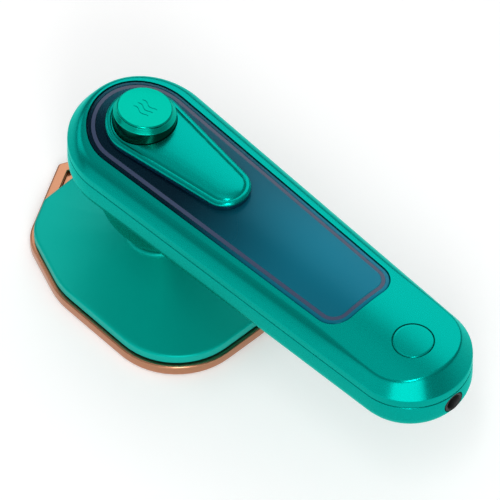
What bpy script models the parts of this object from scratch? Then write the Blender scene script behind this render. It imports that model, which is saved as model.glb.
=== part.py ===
"""Compact garment steamer: a tapered handle with a water tank, on a soleplate head that swivels.

The frame's origin is on the swivel axis, in the plane of the ironing face. +X runs towards the
handle's tail and +Z runs up. Sizes are in metres, written as millimetres times MM.
"""

import math

import bmesh
import bpy
from mathutils import Matrix, Vector

MM = 0.001
GAP = 0.3 * MM

# Handle shells
HANDLE_LENGTH = 200.0 * MM
HEAD_END_RADIUS = 29.0 * MM
TAIL_END_RADIUS = 24.2 * MM
HEAD_END_X = -9.0 * MM
HANDLE_BASE_Z = 46.0 * MM
HANDLE_THICKNESS = 28.0 * MM
SPLIT_DROP = 13.0 * MM
CREASE_DROP = 9.0 * MM
CHAMFER_INSET = 4.9 * MM
BELLY_RADIUS = 8.0 * MM
DOME_RADIUS = 80.0 * MM
SHELL_WALL = 2.0 * MM

# Tank window, tank and button panel
WINDOW_RADIUS = 21.4 * MM
WINDOW_TAIL_MARGIN = 23.4 * MM
WINDOW_TAIL_HALF_WIDTH = 17.6 * MM
WINDOW_CORNER_RADIUS = 9.0 * MM
WINDOW_WALL = 2.0 * MM
TANK_WALL = 1.5 * MM
TANK_INSET = 1.2 * MM
TANK_FLANGE = 1.2 * MM
TANK_FLOOR_HEIGHT = 10.0 * MM
PANEL_RIM = 3.1 * MM
PANEL_TAIL_RADIUS = 10.0 * MM
PANEL_LENGTH = 69.9 * MM
PANEL_HEIGHT = 3.8 * MM
PANEL_WALL = 1.8 * MM

# Steam button and pump
BUTTON_SHIFT = 1.6 * MM
BUTTON_RADIUS = 12.4 * MM
BUTTON_RISE = 9.8 * MM
BUTTON_SKIRT = 8.3 * MM
BUTTON_WALL = 1.6 * MM
BUTTON_TRAVEL = 3.0 * MM
PUMP_RADIUS = 6.5 * MM
PUMP_WALL = 1.5 * MM
PUMP_HEIGHT = 13.2 * MM
PISTON_ROD_RADIUS = 2.2 * MM
PISTON_HEAD_HEIGHT = 3.0 * MM
PUMP_CAP_HEIGHT = 1.5 * MM
OUTLET_RADIUS = 2.5 * MM
HOSE_RADIUS = OUTLET_RADIUS - GAP / 2
TUBE_BORE = 1.2 * MM
SPRING_RADIUS = 4.0 * MM
SPRING_WIRE = 0.45 * MM
SPRING_TURNS = 5

# Power button and control board
POWER_RADIUS = 8.1 * MM
POWER_SHIFT = 1.7 * MM
POWER_SKIRT = 2.6 * MM
POWER_TRAVEL = 0.6 * MM
POWER_STEM_RADIUS = 2.0 * MM
BOARD_LENGTH = 30.0 * MM
BOARD_WIDTH = 24.0 * MM
BOARD_THICKNESS = 1.6 * MM
BOARD_HEIGHT = 10.5 * MM
SWITCH_SIDE = 6.0 * MM
SWITCH_HEIGHT = 3.5 * MM
SWITCH_STEM_RADIUS = 1.5 * MM
SWITCH_STEM_RISE = 1.8 * MM
LED_SIDE = 2.4 * MM
LED_HEIGHT = 1.2 * MM

# Cord inlet, filler and shell screws
INLET_RADIUS = 4.8 * MM
INLET_BORE = 3.0 * MM
INLET_HEIGHT = 9.6 * MM
INLET_LIP = 1.2 * MM
FILLER_MARGIN = 58.8 * MM
FILLER_RADIUS = 5.0 * MM
FILLER_WALL = 1.5 * MM
PLUG_FLANGE_RADIUS = 7.4 * MM
PLUG_FLANGE = 2.0 * MM
PLUG_TRAVEL = 12.0 * MM
SCREW_HEAD_RADIUS = 2.6 * MM
SCREW_HEAD_HEIGHT = 1.8 * MM
SCREW_RADIUS = 1.2 * MM
SCREW_SINK = 0.8 * MM
SCREW_GRIP = 5.0 * MM
BOSS_WALL = 1.5 * MM
FRONT_SCREW_X = 44.0 * MM
FRONT_SCREW_SPREAD = 11.0 * MM
REAR_SCREW_MARGIN = 14.0 * MM
REAR_SCREW_SPREAD = 15.5 * MM

# Neck and swivel
NECK_PROFILE = (
    (16.4 * MM, 12.7 * MM),
    (20.0 * MM, 14.8 * MM),
    (24.0 * MM, 17.2 * MM),
    (28.5 * MM, 19.6 * MM),
    (34.0 * MM, 22.0 * MM),
    (40.0 * MM, 23.6 * MM),
    (45.0 * MM, 24.4 * MM),
)
NECK_WALL = 2.0 * MM
NECK_FOOT_RADIUS = 11.2 * MM
BEARING_FLOOR = 2.5 * MM
SPINDLE_RADIUS = 6.5 * MM
SPINDLE_BORE = 4.5 * MM
SPINDLE_FLANGE_RADIUS = 10.5 * MM
SPINDLE_FLANGE = 2.0 * MM
SPINDLE_HEIGHT = 12.0 * MM
WASHER_RADIUS = 9.6 * MM
WASHER_HEIGHT = 0.8 * MM
RETAINER_RADIUS = 9.6 * MM
RETAINER_HEIGHT = 3.0 * MM
STOP_WIDTH = 3.0 * MM
SWIVEL_LIMIT = math.radians(90.0)
FEED_RADIUS = 2.0 * MM

# Head: soleplate, steam chamber, heater and cover
SOLE_THICKNESS = 5.0 * MM
SOLE_EDGE_RADIUS = 1.2 * MM
SOLE_TIP_REACH = 55.8 * MM
SOLE_HEEL_REACH = 57.2 * MM
SOLE_SHOULDER = (-38.2 * MM, 34.5 * MM)
SOLE_HIP = (-10.4 * MM, 45.4 * MM)
SOLE_HEEL_CORNER = (55.3 * MM, 47.0 * MM)
TIP_RADIUS = 2.0 * MM
SHOULDER_RADIUS = 17.8 * MM
HIP_RADIUS = 33.8 * MM
HEEL_CORNER_RADIUS = 29.9 * MM
HEEL_RADIUS = 60.0 * MM
NOSE_RIM = 4.3 * MM
NOSE_DEPTH = 2.0 * MM
COVER_INSET = 1.5 * MM
COVER_LIFT = 1.0 * MM
COVER_FRONT_X = -44.5 * MM
COVER_FRONT_RADIUS = 3.0 * MM
COVER_RIM_HEIGHT = 5.0 * MM
COVER_WALL = 1.7 * MM
COVER_SEAT_Z = 14.0 * MM
COLLAR_RADIUS = 13.7 * MM
COLLAR_RISE = 1.9 * MM
COLLAR_WALL = 2.1 * MM
SHIELD_CLEARANCE = 0.4 * MM
SHIELD_WIDTH = 4.4 * MM
SHIELD_FRONT_WIDTH = 2.6 * MM
SHIELD_THICKNESS = 1.5 * MM
CHAMBER_INSET = 9.5 * MM
CHAMBER_HEIGHT = 3.2 * MM
CHAMBER_WALL = 1.2 * MM
CHAMBER_REAR_X = 9.0 * MM
STEAM_HOLE_RADIUS = 1.4 * MM
STEAM_HOLE_INSET = 18.0 * MM
STEAM_HOLES_A_SIDE = 5
STEAM_HOLE_SPACING = 15.0
FRONT_SHIELD_SCREW = 125.0
REAR_SHIELD_SCREW = 24.0
HEATER_LENGTH = 34.0 * MM
HEATER_WIDTH = 16.0 * MM
HEATER_HEIGHT = 2.8 * MM
HEATER_MARGIN = 3.5 * MM
CLAMP_THICKNESS = 0.8 * MM
CLAMP_EAR = 6.0 * MM
SMALL_SCREW_RADIUS = 0.9 * MM
SMALL_HEAD_RADIUS = 1.7 * MM
SMALL_HEAD_HEIGHT = 1.0 * MM
SMALL_SCREW_DEPTH = 3.0 * MM
THERMOSTAT_RADIUS = 6.0 * MM
THERMOSTAT_HEIGHT = 3.0 * MM
SENSOR_SPREAD = 22.0 * MM
FUSE_RADIUS = 1.6 * MM
FUSE_LENGTH = 12.0 * MM

# How far a cutter runs past what it cuts
SHORT_OVERRUN = 2.0 * MM
OVERRUN = 5.0 * MM
LONG_OVERRUN = 20.0 * MM

# Curve and circle resolution
ARC_STEPS = 9
CORNER_STEPS = 3
BELLY_STEPS = 3
COVER_SPACING = 10.0 * MM
ROUND_STEPS = 28
SMALL_STEPS = 12

# Derived places
HANDLE_TOP_Z = HANDLE_BASE_Z + HANDLE_THICKNESS
SPLIT_Z = HANDLE_TOP_Z - SPLIT_DROP
CREASE_Z = HANDLE_TOP_Z - CREASE_DROP
TAIL_END_X = HEAD_END_X + HANDLE_LENGTH - HEAD_END_RADIUS - TAIL_END_RADIUS
CHAMFER_SLOPE = CHAMFER_INSET / (CREASE_DROP - 0.5 * MM)
HANDLE_FLOOR_Z = HANDLE_BASE_Z + SHELL_WALL
WINDOW_END_X = TAIL_END_X - WINDOW_TAIL_MARGIN
TANK_FLOOR_Z = HANDLE_BASE_Z + TANK_FLOOR_HEIGHT
TANK_ROOF_RADIUS = DOME_RADIUS - WINDOW_WALL - GAP
BUTTON_X = HEAD_END_X + BUTTON_SHIFT
PANEL_RADIUS = BUTTON_RADIUS + PANEL_RIM
BUTTON_TOP_Z = HANDLE_TOP_Z + BUTTON_RISE
BUTTON_BASE_Z = BUTTON_TOP_Z - BUTTON_SKIRT
BUTTON_BORE = BUTTON_RADIUS + 1.3 * GAP
WELL_RADIUS = BUTTON_BORE + 0.7 * MM
PANEL_TAIL_X = BUTTON_X + PANEL_LENGTH - PANEL_RADIUS - PANEL_TAIL_RADIUS
PUMP_BASE_Z = TANK_FLOOR_Z + TANK_WALL + GAP
PUMP_TOP_Z = PUMP_BASE_Z + PUMP_HEIGHT
POWER_X = TAIL_END_X + POWER_SHIFT
BOARD_Z = HANDLE_BASE_Z + BOARD_HEIGHT
TAIL_TIP_X = TAIL_END_X + TAIL_END_RADIUS
INLET_Z = HANDLE_BASE_Z + INLET_HEIGHT
FILLER_X = WINDOW_END_X - FILLER_MARGIN
REAR_SCREW_X = TAIL_END_X - REAR_SCREW_MARGIN
NECK_FLOOR_Z = COVER_SEAT_Z + GAP + 0.1 * MM
NECK_FLOOR_TOP_Z = NECK_FLOOR_Z + BEARING_FLOOR
SPINDLE_BASE_Z = COVER_SEAT_Z - COVER_WALL - GAP - SPINDLE_FLANGE
RETAINER_Z = NECK_FLOOR_TOP_Z + GAP + WASHER_HEIGHT + GAP
SPINDLE_TOP_Z = NECK_FLOOR_TOP_Z + SPINDLE_HEIGHT - BEARING_FLOOR
RUNNING_GAP = 0.35 * MM
COVER_BASE_Z = SOLE_THICKNESS + COVER_LIFT
ON_SOLE_Z = SOLE_THICKNESS + GAP
CHAMBER_TOP_Z = ON_SOLE_Z + CHAMBER_HEIGHT
CHAMBER_FRONT_X = COVER_FRONT_X + COVER_WALL + SHIELD_CLEARANCE + SHIELD_FRONT_WIDTH + GAP
HEATER_X = CHAMBER_REAR_X + HEATER_MARGIN + HEATER_LENGTH / 2
UP = Vector((0.0, 0.0, 1.0))


# ---------------------------------------------------------------- collections and materials

def fresh_collection(name, hidden):
    """A new collection in the scene; a hidden one is left out of renders."""
    made = bpy.data.collections.new(name)
    made.hide_render = hidden
    bpy.context.scene.collection.children.link(made)
    return made


def clear_scene():
    """Remove every object that the startup scene holds."""
    for obj in list(bpy.data.objects):
        bpy.data.objects.remove(obj, do_unlink=True)


def linear(hex_colour):
    """An sRGB hex colour as linear RGBA."""
    channels = [int(hex_colour[i:i + 2], 16) / 255 for i in (0, 2, 4)]
    return [c / 12.92 if c <= 0.04045 else ((c + 0.055) / 1.055) ** 2.4 for c in channels] + [1.0]


def material(name, hex_colour, roughness, metallic=0.0, alpha=1.0):
    """A Principled material of one colour."""
    made = bpy.data.materials.new(name)
    made.use_nodes = True
    shader = made.node_tree.nodes["Principled BSDF"]
    shader.inputs["Base Color"].default_value = linear(hex_colour)
    shader.inputs["Roughness"].default_value = roughness
    shader.inputs["Metallic"].default_value = metallic
    shader.inputs["Alpha"].default_value = alpha
    made.diffuse_color = linear(hex_colour)
    return made


clear_scene()
PARTS = fresh_collection("garment_steamer", False)
CUTTERS = fresh_collection("cutters", True)
SHELL_GREEN = material("shell_green", "00A08C", 0.32, 0.35)
BUTTON_GREEN = material("button_green", "10BFA2", 0.25, 0.35)
SMOKED_BLUE = material("smoked_blue", "0B3550", 0.08, 0.0, 0.55)
TANK_BLUE = material("tank_blue", "0A2C40", 0.2)
COPPER = material("copper_coating", "C98A68", 0.25, 1.0)
ALLOY = material("die_cast_alloy", "A9ABAE", 0.4, 1.0)
STEEL = material("zinc_plated_steel", "B9BCC2", 0.3, 1.0)
BRASS = material("brass", "C7A04E", 0.3, 1.0)
BLACK_PLASTIC = material("black_plastic", "141617", 0.5)
BLACK_RUBBER = material("black_rubber", "0C0D0D", 0.75)
SILICONE = material("clear_silicone", "D7DAD6", 0.45)
WHITE_PLASTIC = material("white_nylon", "E6E6E0", 0.4)
BOARD_GREEN = material("circuit_board", "1E5A36", 0.45)
CERAMIC = material("heater_ceramic", "E2DCCB", 0.6)
LED_LENS = material("led_lens", "D94A2B", 0.2)


# ---------------------------------------------------------------- outlines

def arc(centre, radius, start, end, steps):
    """Points on an arc, from the start angle to the end angle, both included."""
    turns = [start + (end - start) * i / steps for i in range(steps + 1)]
    return [Vector((centre[0] + radius * math.cos(a), centre[1] + radius * math.sin(a))) for a in turns]


def hull_of_circles(circles, steps):
    """The counter-clockwise outline of a band stretched round circles given as (x, y, radius)."""
    normals = []
    for i, (x0, y0, r0) in enumerate(circles):
        x1, y1, r1 = circles[(i + 1) % len(circles)]
        along = Vector((x1 - x0, y1 - y0))
        lean = (r0 - r1) / along.length
        along.normalize()
        normals.append(lean * along + math.sqrt(1 - lean * lean) * Vector((along.y, -along.x)))
    outline = []
    for i, (x, y, r) in enumerate(circles):
        start = math.atan2(normals[i - 1].y, normals[i - 1].x)
        end = math.atan2(normals[i].y, normals[i].x)
        outline += arc((x, y), r, start, start + (end - start) % math.tau, steps)
    return outline


def handle_outline(inset=0.0):
    """The handle's plan: a stadium that tapers towards the tail."""
    head = (HEAD_END_X, 0.0, HEAD_END_RADIUS - inset)
    tail = (TAIL_END_X, 0.0, TAIL_END_RADIUS - inset)
    return hull_of_circles((head, tail), ARC_STEPS)


def window_outline(inset=0.0):
    """The tank window's plan: round at the head, square with round corners at the tail."""
    corner_x = WINDOW_END_X - WINDOW_CORNER_RADIUS
    corner_y = WINDOW_TAIL_HALF_WIDTH - WINDOW_CORNER_RADIUS
    corner_r = WINDOW_CORNER_RADIUS - inset
    return hull_of_circles(
        (
            (HEAD_END_X, 0.0, WINDOW_RADIUS - inset),
            (corner_x, -corner_y, corner_r),
            (corner_x, corner_y, corner_r),
        ),
        ARC_STEPS,
    )


def panel_outline(inset=0.0):
    """The button panel's plan: a teardrop, round about the steam button."""
    head = (BUTTON_X, 0.0, PANEL_RADIUS - inset)
    tail = (PANEL_TAIL_X, 0.0, PANEL_TAIL_RADIUS - inset)
    return hull_of_circles((head, tail), ARC_STEPS)


def sole_corners():
    """The soleplate's corners, counter-clockwise from the tip, each with its rounding."""
    left = [
        (SOLE_SHOULDER, SHOULDER_RADIUS),
        (SOLE_HIP, HIP_RADIUS),
        (SOLE_HEEL_CORNER, HEEL_CORNER_RADIUS),
    ]
    right = [((x, -y), r) for (x, y), r in left]
    tip = ((-SOLE_TIP_REACH, 0.0), TIP_RADIUS)
    heel = ((SOLE_HEEL_REACH, 0.0), HEEL_RADIUS)
    return [(Vector(p), r) for p, r in [tip] + right + [heel] + left[::-1]]


def inset_corners(corners, inset):
    """Corners moved in so that every side keeps its direction and moves by the inset."""
    moved = []
    for i, (point, radius) in enumerate(corners):
        before = (point - corners[i - 1][0]).normalized()
        after = (corners[(i + 1) % len(corners)][0] - point).normalized()
        in_before = Vector((-before.y, before.x))
        in_after = Vector((-after.y, after.x))
        step = (in_before + in_after) * inset / (1 + in_before.dot(in_after))
        moved.append((point + step, max(radius - inset, 0.6 * MM)))
    return moved


def clip_corners(corners, x_low, x_high, radius):
    """Corners cut off by a line across X at each end; the new corners take the given rounding."""
    for limit, side in ((x_low, 1), (x_high, -1)):
        if limit is None:
            continue
        kept = []
        for i, (point, rounding) in enumerate(corners):
            following = corners[(i + 1) % len(corners)][0]
            inside = (point.x - limit) * side > 0
            if inside:
                kept.append((point, rounding))
            if inside != ((following.x - limit) * side > 0):
                share = (limit - point.x) / (following.x - point.x)
                kept.append((point.lerp(following, share), radius))
        corners = kept
    return corners


def round_corners(corners, steps):
    """The outline of a convex polygon with each corner rounded to its own radius."""
    outline = []
    for i, (point, radius) in enumerate(corners):
        back = (corners[i - 1][0] - point).normalized()
        ahead = (corners[(i + 1) % len(corners)][0] - point).normalized()
        half = back.angle(ahead) / 2
        centre = point + (back + ahead).normalized() * radius / math.sin(half)
        first = point + back * radius / math.tan(half) - centre
        last = point + ahead * radius / math.tan(half) - centre
        start = math.atan2(first.y, first.x)
        turn = (math.atan2(last.y, last.x) - start + math.pi) % math.tau - math.pi
        outline += arc(centre, radius, start, start + turn, steps)
    return outline


def sole_outline(inset=0.0, x_low=None, x_high=None, radius=COVER_FRONT_RADIUS):
    """The soleplate's plan moved in, and cut across at either end where asked."""
    corners = inset_corners(sole_corners(), inset)
    return round_corners(clip_corners(corners, x_low, x_high, radius), CORNER_STEPS)


# ---------------------------------------------------------------- solids

def add_object(name, data, finish, collection=None):
    """An object for a mesh or a curve, in the parts' collection unless another is given."""
    made = bpy.data.objects.new(name, data)
    (collection or PARTS).objects.link(made)
    if finish is None:
        made.hide_render = True
        made.display_type = "WIRE"
    else:
        data.materials.append(finish)
    return made


def solid_from(name, bm, finish):
    """Turn a bmesh into an object: a part when it has a finish, and a cutter when it has none."""
    bmesh.ops.recalc_face_normals(bm, faces=bm.faces)
    data = bpy.data.meshes.new(name)
    bm.to_mesh(data)
    bm.free()
    data.shade_smooth()
    data.set_sharp_from_angle(angle=math.radians(35))
    return add_object(name, data, finish, PARTS if finish else CUTTERS)


def loft(name, rings, finish, looped=False):
    """A skin over rings of equally many points; looped joins the last ring to the first."""
    bm = bmesh.new()
    rows = [[bm.verts.new(point) for point in ring] for ring in rings]
    pairs = list(zip(rows, rows[1:]))
    if looped:
        pairs.append((rows[-1], rows[0]))
    for low, high in pairs:
        for i in range(len(low)):
            j = (i + 1) % len(low)
            bm.faces.new((low[i], low[j], high[j], high[i]))
    if not looped:
        bm.faces.new(rows[0][::-1])
        bm.faces.new(rows[-1])
    return solid_from(name, bm, finish)


def level(outline, z):
    """An outline as a ring at one height."""
    return [(p.x, p.y, z) for p in outline]


def prism(name, outline, low, high, finish=None):
    """An upright prism on an outline."""
    bm = bmesh.new()
    base = bm.faces.new([bm.verts.new(point) for point in level(outline, low)])
    raised = bmesh.ops.extrude_face_region(bm, geom=[base])["geom"]
    bmesh.ops.translate(
        bm, verts=[v for v in raised if isinstance(v, bmesh.types.BMVert)], vec=(0, 0, high - low)
    )
    return solid_from(name, bm, finish)


def box(name, low, high, finish=None):
    """A box between two opposite corners."""
    low, high = Vector(low), Vector(high)
    bm = bmesh.new()
    bmesh.ops.create_cube(bm, size=1.0)
    bmesh.ops.scale(bm, verts=bm.verts, vec=high - low)
    bmesh.ops.translate(bm, verts=bm.verts, vec=(low + high) / 2)
    return solid_from(name, bm, finish)


def rod(name, start, end, radius, finish=None, steps=ROUND_STEPS, end_radius=None):
    """A round bar, or a cone where the end has its own radius."""
    start, end = Vector(start), Vector(end)
    turn = UP.rotation_difference(end - start).to_matrix().to_4x4()
    bm = bmesh.new()
    bmesh.ops.create_cone(
        bm,
        cap_ends=True,
        segments=steps,
        radius1=radius,
        radius2=radius if end_radius is None else end_radius,
        depth=(end - start).length,
        matrix=Matrix.Translation((start + end) / 2) @ turn,
    )
    return solid_from(name, bm, finish)


def turned(name, profile, finish, x=0.0, y=0.0, steps=ROUND_STEPS):
    """A turned piece about an upright axis; its profile of (radius, z) runs down the outer side."""
    data = bpy.data.meshes.new(name)
    closed = all(radius > 0 for radius, _ in profile)
    edges = [(i, i + 1) for i in range(len(profile) - 1)] + ([(len(profile) - 1, 0)] if closed else [])
    data.from_pydata([(radius, 0.0, z) for radius, z in profile], edges, [])
    made = add_object(name, data, finish, PARTS if finish else CUTTERS)
    made.location = (x, y, 0.0)
    screw = made.modifiers.new("Turn", "SCREW")
    screw.steps = steps
    screw.render_steps = steps
    screw.use_merge_vertices = True
    screw.merge_threshold = 0.00001
    screw.use_smooth_shade = False
    return made


def ring_profile(inner, outer, low, high):
    """The profile of a plain ring, down its outer side and up its bore."""
    return [(outer, high), (outer, low), (inner, low), (inner, high)]


def tube(name, points, radius, finish):
    """A bar along a path of points, with closed ends."""
    curve = bpy.data.curves.new(name, "CURVE")
    curve.dimensions = "3D"
    curve.bevel_depth = radius
    curve.bevel_resolution = 2
    curve.use_fill_caps = True
    spline = curve.splines.new("POLY")
    spline.points.add(len(points) - 1)
    for target, point in zip(spline.points, points):
        target.co = (*point, 1.0)
    return add_object(name, curve, finish)


def tube_mesh(name, points, radius, finish=None):
    """The same bar as a mesh, for a piece that is cut or a cutter."""
    source = tube(name + "_path", points, radius, STEEL)
    bpy.context.view_layer.update()
    graph = bpy.context.evaluated_depsgraph_get()
    data = bpy.data.meshes.new_from_object(source.evaluated_get(graph))
    bpy.data.objects.remove(source, do_unlink=True)
    data.materials.clear()
    bm = bmesh.new()
    bm.from_mesh(data)
    bpy.data.meshes.remove(data)
    bmesh.ops.remove_doubles(bm, verts=bm.verts, dist=0.00001)
    return solid_from(name, bm, finish)


def combine(target, operation, *others):
    """Boolean modifiers on a target, in order. Each other object is a helper, not a part."""
    for other in others:
        modifier = target.modifiers.new(other.name, "BOOLEAN")
        modifier.operation = operation
        modifier.solver = "EXACT"
        modifier.object = other
    return target


def cut(target, *cutters):
    """Cut each cutter from the target."""
    return combine(target, "DIFFERENCE", *cutters)


def join(target, *helpers):
    """Join each helper to the target."""
    return combine(target, "UNION", *helpers)


def dome(name, radius):
    """A block below a surface that is round across the handle and straight along it."""
    centre_z = HANDLE_TOP_Z - DOME_RADIUS
    half_angle = math.asin(min(0.9, (HEAD_END_RADIUS + 6 * MM) / radius))
    crest = arc((0.0, centre_z), radius, math.pi / 2 - half_angle, math.pi / 2 + half_angle, 14)
    section = crest + [Vector((crest[-1].x, HANDLE_BASE_Z)), Vector((crest[0].x, HANDLE_BASE_Z))]
    x_low = HEAD_END_X - HEAD_END_RADIUS - OVERRUN
    x_high = TAIL_TIP_X + OVERRUN
    rings = [[(x, p.x, p.y) for p in section] for x in (x_low, x_high)]
    return loft(name, rings, None)


# ---------------------------------------------------------------- handle shells

def handle_skin(name, inset, low, finish):
    """The upper half of the handle: upright walls to the crease, and a chamfer above it."""
    above = HANDLE_TOP_Z + SHORT_OVERRUN
    rings = (
        level(handle_outline(inset), low),
        level(handle_outline(inset), CREASE_Z),
        level(handle_outline(inset + CHAMFER_SLOPE * (above - CREASE_Z)), above),
    )
    return combine(loft(name, rings, finish), "INTERSECT", dome(name + "_dome", DOME_RADIUS - inset))


def belly_rings(inset):
    """The lower half's rings: upright walls on a quarter round."""
    radius = BELLY_RADIUS - inset
    centre_z = HANDLE_BASE_Z + BELLY_RADIUS
    rings = []
    for i in range(BELLY_STEPS + 1):
        turn = math.pi / 2 * i / BELLY_STEPS
        drawn_in = inset + radius * (1 - math.sin(turn))
        rings.append(level(handle_outline(drawn_in), centre_z - radius * math.cos(turn)))
    return rings


def screw_places():
    """The four shell screws, as (name, x, y)."""
    places = []
    for end, x, spread in (
        ("front", FRONT_SCREW_X, FRONT_SCREW_SPREAD),
        ("rear", REAR_SCREW_X, REAR_SCREW_SPREAD),
    ):
        for side, sign in (("right", -1), ("left", 1)):
            places.append((f"{end}_{side}", x, sign * spread))
    return places


SCREW_SEAT_Z = HANDLE_BASE_Z + SCREW_SINK + SCREW_HEAD_HEIGHT + GAP
LOWER_BOSS_TOP_Z = TANK_FLOOR_Z - 2.2 * MM
UPPER_BOSS_BASE_Z = LOWER_BOSS_TOP_Z + GAP
SCREW_TIP_Z = UPPER_BOSS_BASE_Z + SCREW_GRIP
BOSS_RADIUS = SCREW_RADIUS + GAP + BOSS_WALL


def upper_shell():
    """The top cover, with the window's opening, the power button's hole and two screw bosses."""
    shell = handle_skin("upper_shell", 0.0, SPLIT_Z + GAP / 2, SHELL_GREEN)
    cut(shell, handle_skin("upper_shell_inside", SHELL_WALL, SPLIT_Z - SHORT_OVERRUN, None))
    cut(shell, prism("window_opening", window_outline(-GAP), SPLIT_Z, HANDLE_TOP_Z + OVERRUN))
    for name, x, y in screw_places()[2:]:
        post = rod(
            f"upper_boss_{name}",
            (x, y, UPPER_BOSS_BASE_Z),
            (x, y, HANDLE_TOP_Z - 3.6 * MM),
            BOSS_RADIUS,
            None,
            SMALL_STEPS,
        )
        cut(post, rod(f"upper_pilot_{name}", (x, y, SPLIT_Z - LONG_OVERRUN), (x, y, SCREW_TIP_Z + 1 * MM),
                      SCREW_RADIUS + GAP, None, SMALL_STEPS))
        join(shell, post)
    power_hole = rod(
        "power_hole", (POWER_X, 0, SPLIT_Z), (POWER_X, 0, HANDLE_TOP_Z + OVERRUN), POWER_RADIUS + GAP
    )
    return cut(shell, power_hole)


def neck_profile(inset):
    """The neck's outer side, top to bottom, moved in by the inset."""
    return [(radius - inset, z) for z, radius in reversed(NECK_PROFILE)]


def lower_shell():
    """The bottom cover with the hollow neck that turns on the head's spindle."""
    rings = belly_rings(0.0) + [level(handle_outline(), SPLIT_Z - GAP / 2)]
    shell = loft("lower_shell", rings, SHELL_GREEN)
    neck_top_z = HANDLE_FLOOR_Z + 1.5 * MM
    foot = [
        (NECK_FOOT_RADIUS, NECK_PROFILE[0][0] - 0.4 * MM),
        (NECK_FOOT_RADIUS, NECK_FLOOR_Z),
        (0.0, NECK_FLOOR_Z),
    ]
    neck = [(0.0, neck_top_z), (NECK_PROFILE[-1][1], neck_top_z)] + neck_profile(0.0) + foot
    join(shell, turned("neck_outside", neck, None))
    inside = belly_rings(SHELL_WALL) + [level(handle_outline(SHELL_WALL), SPLIT_Z + SHORT_OVERRUN)]
    cut(shell, loft("lower_shell_inside", inside, None))
    bore_top_z = HANDLE_FLOOR_Z + 1 * MM
    bore_foot = [(NECK_FOOT_RADIUS - NECK_WALL + 0.8 * MM, NECK_FLOOR_TOP_Z), (0.0, NECK_FLOOR_TOP_Z)]
    bore = [(0.0, bore_top_z), (NECK_PROFILE[-1][1] - NECK_WALL, bore_top_z)]
    bore += neck_profile(NECK_WALL)[:-1] + bore_foot
    cut(shell, turned("neck_inside", bore, None))
    spindle_hole = rod(
        "spindle_hole", (0, 0, 0), (0, 0, NECK_FLOOR_TOP_Z + 1 * MM), SPINDLE_RADIUS + RUNNING_GAP
    )
    spindle_hole.rotation_euler.z = math.pi / ROUND_STEPS
    cut(shell, spindle_hole)
    for sign in (-1, 1):
        join(shell, swivel_stop(sign))
    for name, x, y in screw_places():
        join(shell, rod(f"lower_boss_{name}", (x, y, HANDLE_BASE_Z + 0.4 * MM), (x, y, LOWER_BOSS_TOP_Z),
                        SCREW_HEAD_RADIUS + GAP + BOSS_WALL, None, SMALL_STEPS))
        cut(shell, rod(f"head_recess_{name}", (x, y, HANDLE_BASE_Z - OVERRUN), (x, y, SCREW_SEAT_Z),
                       SCREW_HEAD_RADIUS + GAP, None, SMALL_STEPS))
        cut(
            shell,
            rod(
                f"lower_pilot_{name}",
                (x, y, HANDLE_BASE_Z),
                (x, y, SPLIT_Z),
                SCREW_RADIUS + GAP,
                None,
                SMALL_STEPS,
            ),
        )
    cut(
        shell,
        rod(
            "inlet_hole", (TAIL_TIP_X - 6 * MM, 0, INLET_Z), (TAIL_TIP_X + 6 * MM, 0, INLET_Z), INLET_RADIUS
        ),
    )
    return cut(
        shell,
        rod(
            "filler_hole",
            (FILLER_X, 0, HANDLE_BASE_Z - OVERRUN),
            (FILLER_X, 0, HANDLE_FLOOR_Z + SHORT_OVERRUN),
            PLUG_FLANGE_RADIUS + GAP,
        ),
    )


def swivel_stop(sign):
    """A rib inside the neck that the retainer's lug meets at one end of the swivel."""
    rib_inner = RETAINER_RADIUS + GAP + 0.2 * MM
    low_z = NECK_FLOOR_TOP_Z - 0.5 * MM
    high_z = RETAINER_Z + RETAINER_HEIGHT
    reach = NECK_PROFILE[0][1] - NECK_WALL * 0.75
    rib = box(
        f"swivel_rib_{'left' if sign > 0 else 'right'}",
        (STOP_WIDTH / 2 + GAP + 0.2 * MM, sign * rib_inner, low_z),
        (STOP_WIDTH * 1.5 + GAP, sign * reach, high_z),
    )
    return rib


def shell_screws():
    """Four self-tapping screws, up through the lower shell."""
    made = []
    for name, x, y in screw_places():
        head_z = HANDLE_BASE_Z + SCREW_SINK
        profile = [
            (0.0, SCREW_TIP_Z),
            (SCREW_RADIUS * 0.5, SCREW_TIP_Z),
            (SCREW_RADIUS, SCREW_TIP_Z - 1 * MM),
            (SCREW_RADIUS, head_z + SCREW_HEAD_HEIGHT),
            (SCREW_HEAD_RADIUS, head_z + SCREW_HEAD_HEIGHT),
            (SCREW_HEAD_RADIUS, head_z + 0.5 * MM),
            (SCREW_HEAD_RADIUS - 0.5 * MM, head_z),
            (0.0, head_z),
        ]
        made.append(turned(f"shell_screw_{name}", profile, STEEL, x, y, SMALL_STEPS))
    return made


# ---------------------------------------------------------------- tank, window and panel

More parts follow.
